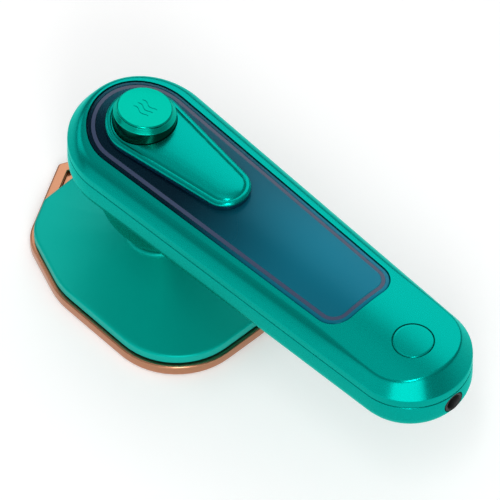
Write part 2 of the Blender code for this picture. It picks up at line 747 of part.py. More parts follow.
def tank_tray():
    """The tank: a basin round a dry well for the pump, with a filler neck and two screw bosses."""
    tray = prism("tank_tray", window_outline(TANK_INSET), TANK_FLOOR_Z, HANDLE_TOP_Z, TANK_BLUE)
    flange = prism("tank_flange", window_outline(-TANK_FLANGE), SPLIT_Z + 4 * MM, HANDLE_TOP_Z + 1 * MM)
    cut(flange, dome("flange_underside", TANK_ROOF_RADIUS - TANK_WALL))
    join(tray, flange)
    combine(tray, "INTERSECT", dome("tank_roof", TANK_ROOF_RADIUS))
    cavity = prism(
        "tank_cavity",
        window_outline(TANK_INSET + TANK_WALL),
        TANK_FLOOR_Z + TANK_WALL,
        HANDLE_TOP_Z + OVERRUN,
    )
    well_outside = rod(
        "well_outside",
        (BUTTON_X, 0, TANK_FLOOR_Z),
        (BUTTON_X, 0, HANDLE_TOP_Z + LONG_OVERRUN),
        WELL_RADIUS + TANK_WALL,
    )
    cut(cavity, well_outside)
    cut(tray, cavity)
    cut(
        tray,
        rod(
            "well_inside",
            (BUTTON_X, 0, TANK_FLOOR_Z + TANK_WALL),
            (BUTTON_X, 0, HANDLE_TOP_Z + OVERRUN),
            WELL_RADIUS,
        ),
    )
    cut(tray, rod("well_outlet", (BUTTON_X, 0, TANK_FLOOR_Z - OVERRUN), (BUTTON_X, 0, PUMP_BASE_Z + 1 * MM),
                  OUTLET_RADIUS + GAP, None, SMALL_STEPS))
    cut(
        tray,
        rod(
            "filler_bore",
            (FILLER_X, 0, HANDLE_BASE_Z),
            (FILLER_X, 0, TANK_FLOOR_Z + 4 * MM),
            FILLER_RADIUS,
            None,
            20,
        ),
    )
    for name, x, y in screw_places()[:2]:
        join(
            tray,
            rod(
                f"tray_boss_{name}",
                (x, y, UPPER_BOSS_BASE_Z),
                (x, y, SCREW_TIP_Z + 2.5 * MM),
                BOSS_RADIUS,
                None,
                SMALL_STEPS,
            ),
        )
        cut(tray, rod(f"tray_pilot_{name}", (x, y, HANDLE_BASE_Z), (x, y, SCREW_TIP_Z + 1 * MM),
                      SCREW_RADIUS + GAP, None, SMALL_STEPS))
    suction_z = PUMP_BASE_Z + 3 * MM
    return cut(tray, rod("suction_port", (BUTTON_X + WELL_RADIUS - 3 * MM, 0, suction_z),
                         (BUTTON_X + WELL_RADIUS + 4 * MM, 0, suction_z), OUTLET_RADIUS, None, SMALL_STEPS))


def tank_window():
    """The clear cover of the tank, flush with the top of the handle, with a hole for the button."""
    window = prism(
        "tank_window", window_outline(), SPLIT_Z + 4 * MM, HANDLE_TOP_Z + SHORT_OVERRUN, SMOKED_BLUE
    )
    combine(window, "INTERSECT", dome("window_top", DOME_RADIUS))
    cut(window, dome("window_underside", DOME_RADIUS - WINDOW_WALL))
    hole = rod(
        "window_button_hole", (BUTTON_X, 0, SPLIT_Z), (BUTTON_X, 0, HANDLE_TOP_Z + OVERRUN), BUTTON_BORE
    )
    return cut(window, hole)


def button_panel():
    """The raised teardrop panel that the steam button stands in."""
    panel = prism(
        "button_panel", panel_outline(), HANDLE_TOP_Z - 6 * MM, HANDLE_TOP_Z + 8 * MM, SHELL_GREEN
    )
    combine(panel, "INTERSECT", dome("panel_top", DOME_RADIUS + PANEL_HEIGHT))
    cut(panel, dome("panel_underside", DOME_RADIUS + GAP))
    hollow = prism("panel_hollow", panel_outline(PANEL_WALL), HANDLE_TOP_Z - 8 * MM, HANDLE_TOP_Z + 8 * MM)
    combine(hollow, "INTERSECT", dome("panel_ceiling", DOME_RADIUS + PANEL_HEIGHT - PANEL_WALL))
    cut(panel, hollow)
    collar = rod("panel_collar", (BUTTON_X, 0, HANDLE_TOP_Z - 6 * MM), (BUTTON_X, 0, HANDLE_TOP_Z + 8 * MM),
                 BUTTON_BORE + PANEL_WALL / 2)
    combine(collar, "INTERSECT", dome("collar_top", DOME_RADIUS + PANEL_HEIGHT - PANEL_WALL / 2))
    cut(collar, dome("collar_underside", DOME_RADIUS + GAP))
    join(panel, collar)
    return cut(
        panel, rod("panel_button_hole", (BUTTON_X, 0, SPLIT_Z), (BUTTON_X, 0, BUTTON_TOP_Z), BUTTON_BORE)
    )


# ---------------------------------------------------------------- steam button and pump

PISTON_TOP_Z = PUMP_TOP_Z - 2.2 * MM
PISTON_BASE_Z = PISTON_TOP_Z - PISTON_HEAD_HEIGHT
PUMP_CAP_Z = PUMP_TOP_Z + GAP
BUTTON_CEILING_Z = BUTTON_TOP_Z - 2.0 * MM


def steam_button():
    """The push button: a cap with a dished top and a skirt that runs in the panel."""
    dish = 0.5 * MM
    rim = BUTTON_RADIUS - 1.6 * MM
    profile = [
        (0.0, BUTTON_TOP_Z - dish),
        (rim * 0.6, BUTTON_TOP_Z - dish * 0.6),
        (rim, BUTTON_TOP_Z),
        (BUTTON_RADIUS - 0.5 * MM, BUTTON_TOP_Z - 0.5 * MM),
        (BUTTON_RADIUS, BUTTON_TOP_Z - 1.6 * MM),
        (BUTTON_RADIUS, BUTTON_BASE_Z),
        (BUTTON_RADIUS - BUTTON_WALL, BUTTON_BASE_Z),
        (BUTTON_RADIUS - BUTTON_WALL, BUTTON_CEILING_Z),
        (0.0, BUTTON_CEILING_Z),
    ]
    return turned("steam_button", profile, BUTTON_GREEN, BUTTON_X)


def pump_piston():
    """The piston and its rod, which hangs from the button's underside."""
    profile = [
        (0.0, BUTTON_CEILING_Z - GAP),
        (PISTON_ROD_RADIUS, BUTTON_CEILING_Z - GAP),
        (PISTON_ROD_RADIUS, PISTON_TOP_Z),
        (PUMP_RADIUS - PUMP_WALL - GAP, PISTON_TOP_Z),
        (PUMP_RADIUS - PUMP_WALL - GAP, PISTON_BASE_Z),
        (0.0, PISTON_BASE_Z),
    ]
    return turned("pump_piston", profile, WHITE_PLASTIC, BUTTON_X, steps=24)


def pump_barrel():
    """The pump's cylinder, with an outlet nipple below and a suction nipple at its side."""
    nipple_z = HANDLE_BASE_Z + 3.0 * MM
    bore = PUMP_RADIUS - PUMP_WALL
    floor_z = PUMP_BASE_Z + PUMP_WALL
    profile = [
        (PUMP_RADIUS, PUMP_TOP_Z),
        (PUMP_RADIUS, PUMP_BASE_Z),
        (OUTLET_RADIUS, PUMP_BASE_Z),
        (OUTLET_RADIUS, nipple_z),
        (TUBE_BORE, nipple_z),
        (TUBE_BORE, floor_z),
        (bore, floor_z),
        (bore, PUMP_TOP_Z),
    ]
    barrel = turned("pump_barrel", profile, WHITE_PLASTIC, BUTTON_X, steps=24)
    z = PUMP_BASE_Z + 3 * MM
    start, end = (BUTTON_X + bore + 0.4 * MM, 0, z), (BUTTON_X + PUMP_RADIUS + 2.5 * MM, 0, z)
    join(barrel, rod("suction_nipple", start, end, TUBE_BORE + 0.8 * MM, None, SMALL_STEPS))
    return cut(
        barrel,
        rod(
            "suction_bore",
            (BUTTON_X + SHORT_OVERRUN, 0, z),
            (BUTTON_X + LONG_OVERRUN, 0, z),
            TUBE_BORE,
            None,
            SMALL_STEPS,
        ),
    )


def pump_small_parts():
    """The cap over the piston, the outlet valve's ball and the two hoses."""
    turned(
        "pump_cap",
        ring_profile(PISTON_ROD_RADIUS + GAP, PUMP_RADIUS, PUMP_CAP_Z, PUMP_CAP_Z + PUMP_CAP_HEIGHT),
        WHITE_PLASTIC,
        BUTTON_X,
        steps=24,
    )
    ball_radius = 1.5 * MM
    centre_z = PUMP_BASE_Z + PUMP_WALL + ball_radius + 0.1 * MM
    bm = bmesh.new()
    bmesh.ops.create_uvsphere(bm, u_segments=10, v_segments=6, radius=ball_radius,
                              matrix=Matrix.Translation((BUTTON_X, 0, centre_z)))
    solid_from("valve_ball", bm, STEEL)
    z = PUMP_BASE_Z + 3 * MM
    hose = rod(
        "suction_hose",
        (BUTTON_X + PUMP_RADIUS + GAP, 0, z),
        (BUTTON_X + WELL_RADIUS + TANK_WALL + 0.6 * MM, 0, z),
        HOSE_RADIUS,
        SILICONE,
        SMALL_STEPS,
    )
    cut(
        hose,
        rod(
            "suction_hose_bore",
            (BUTTON_X, 0, z),
            (BUTTON_X + LONG_OVERRUN, 0, z),
            TUBE_BORE + 0.8 * MM + GAP,
            None,
            SMALL_STEPS,
        ),
    )


def pump_spring():
    """The return spring between the pump's cap and the button."""
    low = PUMP_CAP_Z + PUMP_CAP_HEIGHT + GAP + SPRING_WIRE
    high = BUTTON_CEILING_Z - GAP - SPRING_WIRE
    steps = SPRING_TURNS * 8
    points = []
    for i in range(steps + 1):
        turn = math.tau * SPRING_TURNS * i / steps
        points.append(
            (
                BUTTON_X + SPRING_RADIUS * math.cos(turn),
                SPRING_RADIUS * math.sin(turn),
                low + (high - low) * i / steps,
            ),
        )
    made = tube("pump_spring", points, SPRING_WIRE, STEEL)
    made.data.bevel_resolution = 1
    return made


FEED_TOP_Z = SPINDLE_TOP_Z + 3.0 * MM
HOSE_END_Z = FEED_TOP_Z + GAP


def delivery_hose():
    """The hose from the pump's nipple down the neck to the swivel joint."""
    start = Vector((BUTTON_X, 0, HANDLE_BASE_Z + 3.0 * MM - GAP))
    end = Vector((0, 0, HOSE_END_Z))
    steps = 10
    points = []
    for i in range(steps + 1):
        share = i / steps
        ease = share * share * (3 - 2 * share)
        points.append((start.x + (end.x - start.x) * ease, 0.0, start.z + (end.z - start.z) * share))
    hose = tube_mesh("delivery_hose", points, OUTLET_RADIUS, SILICONE)
    last = [Vector(p) for p in points]
    last[0] += UP * 2 * MM
    last[-1] -= UP * 2 * MM
    return cut(hose, tube_mesh("delivery_bore", last, TUBE_BORE))


# ---------------------------------------------------------------- power button, board and tail

def power_button():
    """The round button at the tail, flush with the domed top, on a stem over the switch."""
    button = rod(
        "power_button",
        (POWER_X, 0, HANDLE_TOP_Z - POWER_SKIRT - 3 * MM),
        (POWER_X, 0, HANDLE_TOP_Z + 3 * MM),
        POWER_RADIUS - GAP * 0.2,
        BUTTON_GREEN,
    )
    combine(button, "INTERSECT", dome("power_top", DOME_RADIUS))
    cut(button, dome("power_underside", DOME_RADIUS - POWER_SKIRT))
    stem_base_z = SWITCH_TOP_Z + SWITCH_STEM_RISE + GAP
    stem = rod(
        "power_stem",
        (POWER_X, 0, stem_base_z),
        (POWER_X, 0, HANDLE_TOP_Z - POWER_SKIRT / 2),
        POWER_STEM_RADIUS,
        None,
        SMALL_STEPS,
    )
    join(button, stem)
    flange_z = HANDLE_TOP_Z - DOME_RADIUS + math.sqrt(
        DOME_RADIUS ** 2 - (POWER_RADIUS + SHORT_OVERRUN) ** 2
    ) - SHELL_WALL - GAP
    flange = rod(
        "power_flange",
        (POWER_X, 0, flange_z - 1.6 * MM),
        (POWER_X, 0, flange_z - 0.4 * MM),
        POWER_RADIUS + 1.2 * MM,
    )
    return join(button, flange)


SWITCH_BASE_Z = BOARD_Z + BOARD_THICKNESS + GAP
SWITCH_TOP_Z = SWITCH_BASE_Z + SWITCH_HEIGHT


def control_parts():
    """The control board with its switch, the switch's plunger and the pilot light."""
    half = BOARD_WIDTH / 2
    board = box("control_board", (POWER_X - BOARD_LENGTH / 2, -half, BOARD_Z),
                (POWER_X + BOARD_LENGTH / 2, half, BOARD_Z + BOARD_THICKNESS), BOARD_GREEN)
    for name, x, y in screw_places()[2:]:
        cut(
            board,
            rod(
                f"board_notch_{name}",
                (x, y, SPLIT_Z - LONG_OVERRUN),
                (x, y, SPLIT_Z + LONG_OVERRUN),
                SCREW_HEAD_RADIUS + BOSS_WALL + 2 * GAP,
                None,
                SMALL_STEPS,
            ),
        )
    side = SWITCH_SIDE / 2
    switch = box(
        "tact_switch",
        (POWER_X - side, -side, SWITCH_BASE_Z),
        (POWER_X + side, side, SWITCH_TOP_Z),
        BLACK_PLASTIC,
    )
    well_z = SWITCH_TOP_Z - POWER_TRAVEL - 2 * GAP
    cut(switch, rod("switch_well", (POWER_X, 0, well_z), (POWER_X, 0, SWITCH_TOP_Z + SHORT_OVERRUN),
                    SWITCH_STEM_RADIUS + RUNNING_GAP, None, SMALL_STEPS))
    rod("switch_plunger", (POWER_X, 0, SWITCH_TOP_Z - GAP), (POWER_X, 0, SWITCH_TOP_Z + SWITCH_STEM_RISE),
        SWITCH_STEM_RADIUS, WHITE_PLASTIC, 20)
    led_x = POWER_X + side + 3.5 * MM
    led = box("pilot_light", (led_x - LED_SIDE / 2, -LED_SIDE / 2, SWITCH_BASE_Z),
              (led_x + LED_SIDE / 2, LED_SIDE / 2, SWITCH_BASE_Z + LED_HEIGHT), LED_LENS)
    bevel = led.modifiers.new("Edges", "BEVEL")
    bevel.width = 0.2 * MM
    bevel.segments = 2


def cord_gland():
    """The rubber gland in the tail wall that the supply cord comes in through."""
    inner_x = TAIL_TIP_X - SHELL_WALL - 2.8 * MM
    wall_x = TAIL_TIP_X - SHELL_WALL - GAP
    gland = rod(
        "cord_gland",
        (inner_x, 0, INLET_Z),
        (TAIL_TIP_X - 0.2 * MM, 0, INLET_Z),
        INLET_RADIUS - GAP,
        BLACK_RUBBER,
    )
    join(
        gland,
        rod(
            "gland_flange",
            (inner_x - 0.6 * MM, 0, INLET_Z),
            (wall_x - 1.9 * MM, 0, INLET_Z),
            INLET_RADIUS + INLET_LIP * 0.4,
        ),
    )
    cut(
        gland,
        rod(
            "gland_bore",
            (inner_x - OVERRUN, 0, INLET_Z),
            (TAIL_TIP_X + OVERRUN, 0, INLET_Z),
            INLET_BORE + 0.1 * MM,
        ),
    )
    return gland


def filler_plug():
    """The rubber plug that closes the tank's filler from below."""
    base_z = HANDLE_BASE_Z + 0.2 * MM
    flange_top_z = base_z + PLUG_FLANGE - 0.2 * MM
    tip_z = TANK_FLOOR_Z - 1.0 * MM
    stem = FILLER_RADIUS - RUNNING_GAP
    profile = [
        (0.0, tip_z),
        (stem - 0.8 * MM, tip_z),
        (stem, tip_z - 1.0 * MM),
        (stem, flange_top_z),
        (PLUG_FLANGE_RADIUS, flange_top_z),
        (PLUG_FLANGE_RADIUS, base_z),
        (0.0, base_z),
    ]
    return turned("filler_plug", profile, BLACK_RUBBER, FILLER_X)


def filler_neck():
    """The sleeve under the tank's floor that the filler plug seals in."""
    profile = ring_profile(
        FILLER_RADIUS, FILLER_RADIUS + FILLER_WALL, HANDLE_FLOOR_Z + GAP, TANK_FLOOR_Z - GAP
    )
    return turned("filler_neck", profile, TANK_BLUE, FILLER_X)


# ---------------------------------------------------------------- head

def soleplate():
    """The ironing plate, with a sunk nose, steam holes, and a pocket for the heater."""
    rings = []
    for i in range(4):
        turn = math.pi / 2 * i / 3
        drawn_in = SOLE_EDGE_RADIUS * (1 - math.sin(turn))
        rings.append(level(sole_outline(drawn_in), SOLE_EDGE_RADIUS * (1 - math.cos(turn))))
    rings.append(level(sole_outline(), SOLE_THICKNESS))
    plate = loft("soleplate", rings, COPPER)
    nose = sole_outline(NOSE_RIM, None, COVER_FRONT_X + 3 * MM, 0.6 * MM)
    cut(plate, prism("nose_recess", nose, SOLE_THICKNESS - NOSE_DEPTH, SOLE_THICKNESS + OVERRUN))
    half = HEATER_WIDTH / 2 + GAP
    cut(
        plate,
        box(
            "heater_pocket",
            (HEATER_X - HEATER_LENGTH / 2 - GAP, -half, SOLE_THICKNESS - HEATER_HEIGHT - GAP),
            (HEATER_X + HEATER_LENGTH / 2 + GAP, half, SOLE_THICKNESS + OVERRUN),
        ),
    )
    for i, (x, y) in enumerate(steam_hole_places()):
        cut(
            plate,
            rod(
                f"steam_hole_{i}",
                (x, y, -5 * MM),
                (x, y, SOLE_THICKNESS + OVERRUN),
                STEAM_HOLE_RADIUS,
                None,
                12,
            ),
        )
    for name, x, y in sole_screw_places() + clamp_screw_places():
        cut(
            plate,
            rod(
                f"sole_pilot_{name}",
                (x, y, SOLE_THICKNESS - SMALL_SCREW_DEPTH),
                (x, y, SOLE_THICKNESS + OVERRUN),
                SMALL_SCREW_RADIUS + GAP,
                None,
                12,
            ),
        )
    return plate


def on_outline(inset, degrees):
    """The point of the inset soleplate's outline that lies in a direction from the swivel axis."""
    outline = sole_outline(inset)
    aim = Vector((math.cos(math.radians(degrees)), math.sin(math.radians(degrees))))
    for i, point in enumerate(outline):
        following = outline[(i + 1) % len(outline)]
        before, after = aim.cross(point), aim.cross(following)
        if before <= 0 < after and aim.dot(point) > 0:
            return point.lerp(following, before / (before - after))
    raise ValueError("the swivel axis is outside the outline")


def steam_hole_places():
    """Steam holes along the nose, inside the steam chamber."""
    spread = [STEAM_HOLE_SPACING * i for i in range(-STEAM_HOLES_A_SIDE, STEAM_HOLES_A_SIDE + 1)]
    return [on_outline(STEAM_HOLE_INSET, 180 + turn) for turn in spread]


def sole_screw_places():
    """The four screws that hold the heat shield to the soleplate, as (name, x, y)."""
    inset = COVER_INSET + COVER_WALL + SHIELD_CLEARANCE + SHIELD_WIDTH / 2
    places = []
    for end, degrees in (("front", FRONT_SHIELD_SCREW), ("rear", REAR_SHIELD_SCREW)):
        for side, sign in (("right", -1), ("left", 1)):
            point = on_outline(inset, sign * degrees)
            places.append((f"{end}_{side}", point.x, point.y))
    return places


def clamp_screw_places():
    """The two screws of the heater's clamp, as (name, x, y)."""
    y = HEATER_WIDTH / 2 + GAP + CLAMP_EAR / 2 + 0.4 * MM
    return [("clamp_right", HEATER_X, -y), ("clamp_left", HEATER_X, y)]


def small_screw(name, x, y, seat_z):
    """A small cap screw down into the soleplate."""
    tip_z = SOLE_THICKNESS - SMALL_SCREW_DEPTH + GAP
    profile = [
        (0.0, seat_z + SMALL_HEAD_HEIGHT),
        (SMALL_HEAD_RADIUS - 0.3 * MM, seat_z + SMALL_HEAD_HEIGHT),
        (SMALL_HEAD_RADIUS, seat_z + SMALL_HEAD_HEIGHT - 0.3 * MM),
        (SMALL_HEAD_RADIUS, seat_z),
        (SMALL_SCREW_RADIUS, seat_z),
        (SMALL_SCREW_RADIUS, tip_z),
        (0.0, tip_z),
    ]
    return turned(name, profile, STEEL, x, y, SMALL_STEPS)


def heat_shield():
    """The dark ring between the soleplate and the cover."""
    outer = COVER_INSET + COVER_WALL + SHIELD_CLEARANCE
    low, high = ON_SOLE_Z, ON_SOLE_Z + SHIELD_THICKNESS
    front = COVER_FRONT_X + COVER_WALL + SHIELD_CLEARANCE
    shield = prism("heat_shield", sole_outline(outer, front), low, high, BLACK_PLASTIC)
    inner = sole_outline(outer + SHIELD_WIDTH, front + SHIELD_FRONT_WIDTH)
    cut(shield, prism("heat_shield_inside", inner, low - SHORT_OVERRUN, high + SHORT_OVERRUN))
    for name, x, y in sole_screw_places():
        cut(
            shield,
            rod(
                f"shield_hole_{name}",
                (x, y, low - SHORT_OVERRUN),
                (x, y, high + SHORT_OVERRUN),
                SMALL_SCREW_RADIUS + GAP,
                None,
                12,
            ),
        )
    return shield


def head_parts():
    """The steam chamber, heater, clamp, thermostat, fuse and small screws on the soleplate."""
    chamber_outline = sole_outline(CHAMBER_INSET, CHAMBER_FRONT_X, CHAMBER_REAR_X)
    chamber = prism("steam_chamber", chamber_outline, ON_SOLE_Z, CHAMBER_TOP_Z, ALLOY)
    inside = sole_outline(
        CHAMBER_INSET + CHAMBER_WALL, CHAMBER_FRONT_X + CHAMBER_WALL, CHAMBER_REAR_X - CHAMBER_WALL
    )
    cut(chamber, prism("chamber_inside", inside, ON_SOLE_Z - SHORT_OVERRUN, CHAMBER_TOP_Z - CHAMBER_WALL))
    cut(
        chamber,
        rod("chamber_inlet", (0, 0, ON_SOLE_Z), (0, 0, CHAMBER_TOP_Z + SHORT_OVERRUN), TUBE_BORE, None, 12),
    )
    half_length, half_width = HEATER_LENGTH / 2, HEATER_WIDTH / 2
    box("ptc_heater", (HEATER_X - half_length, -half_width, SOLE_THICKNESS - HEATER_HEIGHT),
        (HEATER_X + half_length, half_width, SOLE_THICKNESS), CERAMIC)
    reach = half_width + GAP + CLAMP_EAR
    clamp = box("heater_clamp", (HEATER_X - half_length * 0.55, -reach, ON_SOLE_Z),
                (HEATER_X + half_length * 0.55, reach, ON_SOLE_Z + CLAMP_THICKNESS), STEEL)
    for name, x, y in clamp_screw_places():
        cut(clamp, rod(f"clamp_hole_{name}", (x, y, SOLE_THICKNESS), (x, y, SOLE_THICKNESS + OVERRUN),
                       SMALL_SCREW_RADIUS + GAP, None, 12))
        small_screw(f"{name.replace('clamp_', 'clamp_screw_')}", x, y, ON_SOLE_Z + CLAMP_THICKNESS + GAP)
    for name, x, y in sole_screw_places():
        small_screw(f"sole_screw_{name}", x, y, ON_SOLE_Z + SHIELD_THICKNESS + GAP)
    thermostat = [
        (0.0, ON_SOLE_Z + THERMOSTAT_HEIGHT),
        (THERMOSTAT_RADIUS - 0.8 * MM, ON_SOLE_Z + THERMOSTAT_HEIGHT),
        (THERMOSTAT_RADIUS, ON_SOLE_Z + THERMOSTAT_HEIGHT - 0.8 * MM),
        (THERMOSTAT_RADIUS, ON_SOLE_Z),
        (0.0, ON_SOLE_Z),
    ]
    turned("thermostat", thermostat, ALLOY, HEATER_X, SENSOR_SPREAD, 24)
    fuse_z = ON_SOLE_Z + FUSE_RADIUS
    rod(
        "thermal_fuse",
        (HEATER_X - FUSE_LENGTH / 2, -SENSOR_SPREAD, fuse_z),
        (HEATER_X + FUSE_LENGTH / 2, -SENSOR_SPREAD, fuse_z),
        FUSE_RADIUS,
        BRASS,
        SMALL_STEPS,
    )


def cover_outline(inset):
    """The cover's plan, its long sides split so that they stay round when drawn in to the collar."""
    reference = sole_outline(COVER_INSET, COVER_FRONT_X)
    outline = sole_outline(inset, COVER_FRONT_X + (inset - COVER_INSET))
    points = []
    for i, point in enumerate(outline):
        j = (i + 1) % len(outline)
        parts = math.ceil((reference[j] - reference[i]).length / COVER_SPACING)
        points += [point.lerp(outline[j], k / parts) for k in range(parts)]
    return points


def cover_ring(inset, z, share=0.0, radius=COLLAR_RADIUS):
    """One ring of the cover's skin at a height, part of the way in to a circle about the swivel axis."""
    reference = cover_outline(COVER_INSET)
    drawn_in = [p.lerp(q.normalized() * radius, share) for p, q in zip(cover_outline(inset), reference)]
    return level(drawn_in, z)


def head_cover():
    """The cover over the head: a low rim, a skirt that rises to the collar, and the spindle's seat."""
    crease_z = COVER_BASE_Z + COVER_RIM_HEIGHT
    inner = COVER_INSET + COVER_WALL
    rise = COVER_SEAT_Z + 0.2 * MM - crease_z
    collar_top_z = COVER_SEAT_Z + COLLAR_RISE
    outer_rings = [
        cover_ring(COVER_INSET, COVER_BASE_Z),
        cover_ring(COVER_INSET + 0.4 * MM, crease_z - 1.4 * MM),
        cover_ring(COVER_INSET + 1.7 * MM, crease_z),
    ]
    shares = (0.35, 0.65, 0.87, 1.0)
    outer_rings += [
        cover_ring(COVER_INSET + 1.7 * MM, crease_z + rise * share ** 1.8, share) for share in shares
    ]
    seat_rings = [
        cover_ring(COVER_INSET, z, 1.0, radius)
        for radius, z in (
            (COLLAR_RADIUS, COVER_SEAT_Z + COLLAR_RISE * 0.6),
            (COLLAR_RADIUS - 0.6 * MM, collar_top_z),
            (COLLAR_RADIUS - COLLAR_WALL + 0.4 * MM, collar_top_z),
            (COLLAR_RADIUS - COLLAR_WALL, collar_top_z - 0.4 * MM),
            (COLLAR_RADIUS - COLLAR_WALL, COVER_SEAT_Z),
            (SPINDLE_RADIUS + GAP, COVER_SEAT_Z),
            (SPINDLE_RADIUS + GAP, COVER_SEAT_Z - COVER_WALL),
            (COLLAR_RADIUS - 1.0 * MM, COVER_SEAT_Z - COVER_WALL),
        )
    ]
    inner_rings = [
        cover_ring(inner + 1.0 * MM, crease_z + rise * share ** 1.8 - COVER_WALL - 0.1 * MM, share)
        for share in shares[-2::-1]
    ]
    inner_rings += [
        cover_ring(inner + 1.0 * MM, crease_z - COVER_WALL),
        cover_ring(inner, crease_z - COVER_WALL - 1.0 * MM),
        cover_ring(inner, COVER_BASE_Z),
    ]
    return loft("head_cover", outer_rings + seat_rings + inner_rings, SHELL_GREEN, looped=True)


def swivel_parts():
    """The hollow spindle, its washer and retainer, and the feed pipe inside it."""
    flange_top_z = SPINDLE_BASE_Z + SPINDLE_FLANGE
    spindle = [
        (SPINDLE_RADIUS, SPINDLE_TOP_Z),
        (SPINDLE_RADIUS, flange_top_z),
        (SPINDLE_FLANGE_RADIUS, flange_top_z),
        (SPINDLE_FLANGE_RADIUS, SPINDLE_BASE_Z),
        (SPINDLE_BORE, SPINDLE_BASE_Z),
        (SPINDLE_BORE, SPINDLE_TOP_Z),
    ]
    turned("swivel_spindle", spindle, BLACK_PLASTIC)
    bore = SPINDLE_RADIUS + GAP
    washer_z = NECK_FLOOR_TOP_Z + GAP
    turned("friction_washer", ring_profile(bore, WASHER_RADIUS, washer_z, washer_z + WASHER_HEIGHT), STEEL)
    retainer = turned(
        "spindle_retainer",
        ring_profile(bore, RETAINER_RADIUS, RETAINER_Z, RETAINER_Z + RETAINER_HEIGHT),
        BLACK_PLASTIC,
    )
    lug_reach = RETAINER_RADIUS + 1.6 * MM
    join(
        retainer,
        box(
            "retainer_lug",
            (-lug_reach, -STOP_WIDTH / 2, RETAINER_Z + 0.2 * MM),
            (-SPINDLE_RADIUS - 1.2 * MM, STOP_WIDTH / 2, RETAINER_Z + RETAINER_HEIGHT - 0.2 * MM),
        ),
    )
    turned(
        "feed_pipe",
        ring_profile(TUBE_BORE, FEED_RADIUS, CHAMBER_TOP_Z + GAP, FEED_TOP_Z),
        BRASS,
        steps=SMALL_STEPS,
    )
    seal_low = FEED_TOP_Z - 4.0 * MM
    turned(
        "swivel_seal",
        ring_profile(
            FEED_RADIUS + RUNNING_GAP,
            SPINDLE_BORE + 0.4 * MM,
            seal_low + SHORT_OVERRUN,
            FEED_TOP_Z - 0.4 * MM,
        ),
        BLACK_RUBBER,
        steps=SMALL_STEPS,
    )


# ---------------------------------------------------------------- assembly

def pivot(name, place, parent=None):
    """An empty on a joint's axis, which the pieces of one moving body hang from."""
    made = bpy.data.objects.new(name, None)
    PARTS.objects.link(made)
    made.empty_display_size = 0.01
    made.location = place
    hang(made, parent)
    return made


def world_place(obj):
    """Where an object's origin is, through its parents; none of them is turned."""
    place = Vector(obj.location)
    while obj.parent:
        obj = obj.parent
        place += Vector(obj.location)
    return place


def hang(obj, parent):
    """Parent an object to a pivot and leave it where it is."""
    if parent:
        obj.location = Vector(obj.location) - world_place(parent)
        obj.parent = parent


BODIES = {
    "steam_button": ("steam_button", "pump_piston", "pump_spring"),
    "power_button": ("power_button", "switch_plunger"),
    "filler_plug": ("filler_plug",),
    "head": (
        "soleplate",
        "heat_shield",
        "steam_chamber",
        "ptc_heater",
        "heater_clamp",
        "thermostat",
        "thermal_fuse",
        "head_cover",
        "swivel_spindle",
        "spindle_retainer",
        "feed_pipe",
    ),
}


def assemble():
    """Hang each part from its body's pivot; what no other body names belongs to the handle."""
    head = pivot("head_origin", (0, 0, 0))
    handle = pivot("handle_swivel_axis", (0, 0, NECK_FLOOR_Z), head)
    pivots = {
        "steam_button": pivot("steam_button_axis", (BUTTON_X, 0, BUTTON_TOP_Z), handle),
        "power_button": pivot("power_button_axis", (POWER_X, 0, HANDLE_TOP_Z), handle),
        "filler_plug": pivot("filler_plug_axis", (FILLER_X, 0, HANDLE_BASE_Z), handle),
        "head": head,
    }
    owners = {name: pivots[body] for body, names in BODIES.items() for name in names}
    for obj in list(PARTS.objects):
        if obj.type == "EMPTY":
            continue
        on_head = obj.name.startswith(("sole_screw", "clamp_screw"))
        hang(obj, owners.get(obj.name, head if on_head else handle))


def main():
    """Build every part, from the soleplate up."""
    soleplate()
    heat_shield()
    head_parts()
    head_cover()
    swivel_parts()
    lower_shell()
    upper_shell()
    shell_screws()
    tank_tray()
    tank_window()
    button_panel()
    steam_button()
    pump_piston()
    pump_barrel()
    pump_small_parts()
    pump_spring()
    delivery_hose()
    power_button()
    control_parts()
    cord_gland()
    filler_neck()
    filler_plug()
    assemble()


main()
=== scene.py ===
"""Looks of the compact garment steamer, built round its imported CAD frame."""

import logging
import math
from collections.abc import Callable, Iterable, Sequence
from dataclasses import dataclass
from enum import Enum

import bmesh
import bpy
from mathutils import Matrix, Vector


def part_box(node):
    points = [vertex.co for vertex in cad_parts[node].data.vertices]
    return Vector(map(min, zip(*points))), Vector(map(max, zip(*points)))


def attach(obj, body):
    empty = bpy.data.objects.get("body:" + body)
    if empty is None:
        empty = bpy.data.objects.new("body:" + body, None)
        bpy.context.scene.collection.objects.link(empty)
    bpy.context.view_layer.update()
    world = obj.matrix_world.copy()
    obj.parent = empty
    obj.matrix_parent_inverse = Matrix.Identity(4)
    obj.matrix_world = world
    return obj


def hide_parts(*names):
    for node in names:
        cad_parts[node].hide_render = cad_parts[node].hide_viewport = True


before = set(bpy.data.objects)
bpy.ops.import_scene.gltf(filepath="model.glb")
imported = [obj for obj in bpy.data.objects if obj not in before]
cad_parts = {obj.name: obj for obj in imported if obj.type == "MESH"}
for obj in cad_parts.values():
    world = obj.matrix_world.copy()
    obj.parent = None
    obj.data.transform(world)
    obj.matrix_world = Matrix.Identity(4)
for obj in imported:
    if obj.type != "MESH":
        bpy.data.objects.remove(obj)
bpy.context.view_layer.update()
LOG = logging.getLogger("garment_steamer")
MM = 0.001
X_AXIS = (1.0, 0.0, 0.0)
Y_AXIS = (0.0, 1.0, 0.0)
SHARP_ANGLE = 35.0
CAP_MARK = 1
PUMP_X = -7.4
Ring = list[Vector]
Circle = tuple[float, float, float]


class Body(Enum):
    """The CAD bodies that pieces ride on."""

    HEAD = "head"
    HANDLE = "handle"
    STEAM_BUTTON = "steam_button"
    POWER_BUTTON = "power_button"
    FILLER_PLUG = "filler_plug"


# ---------------------------------------------------------------- node trees

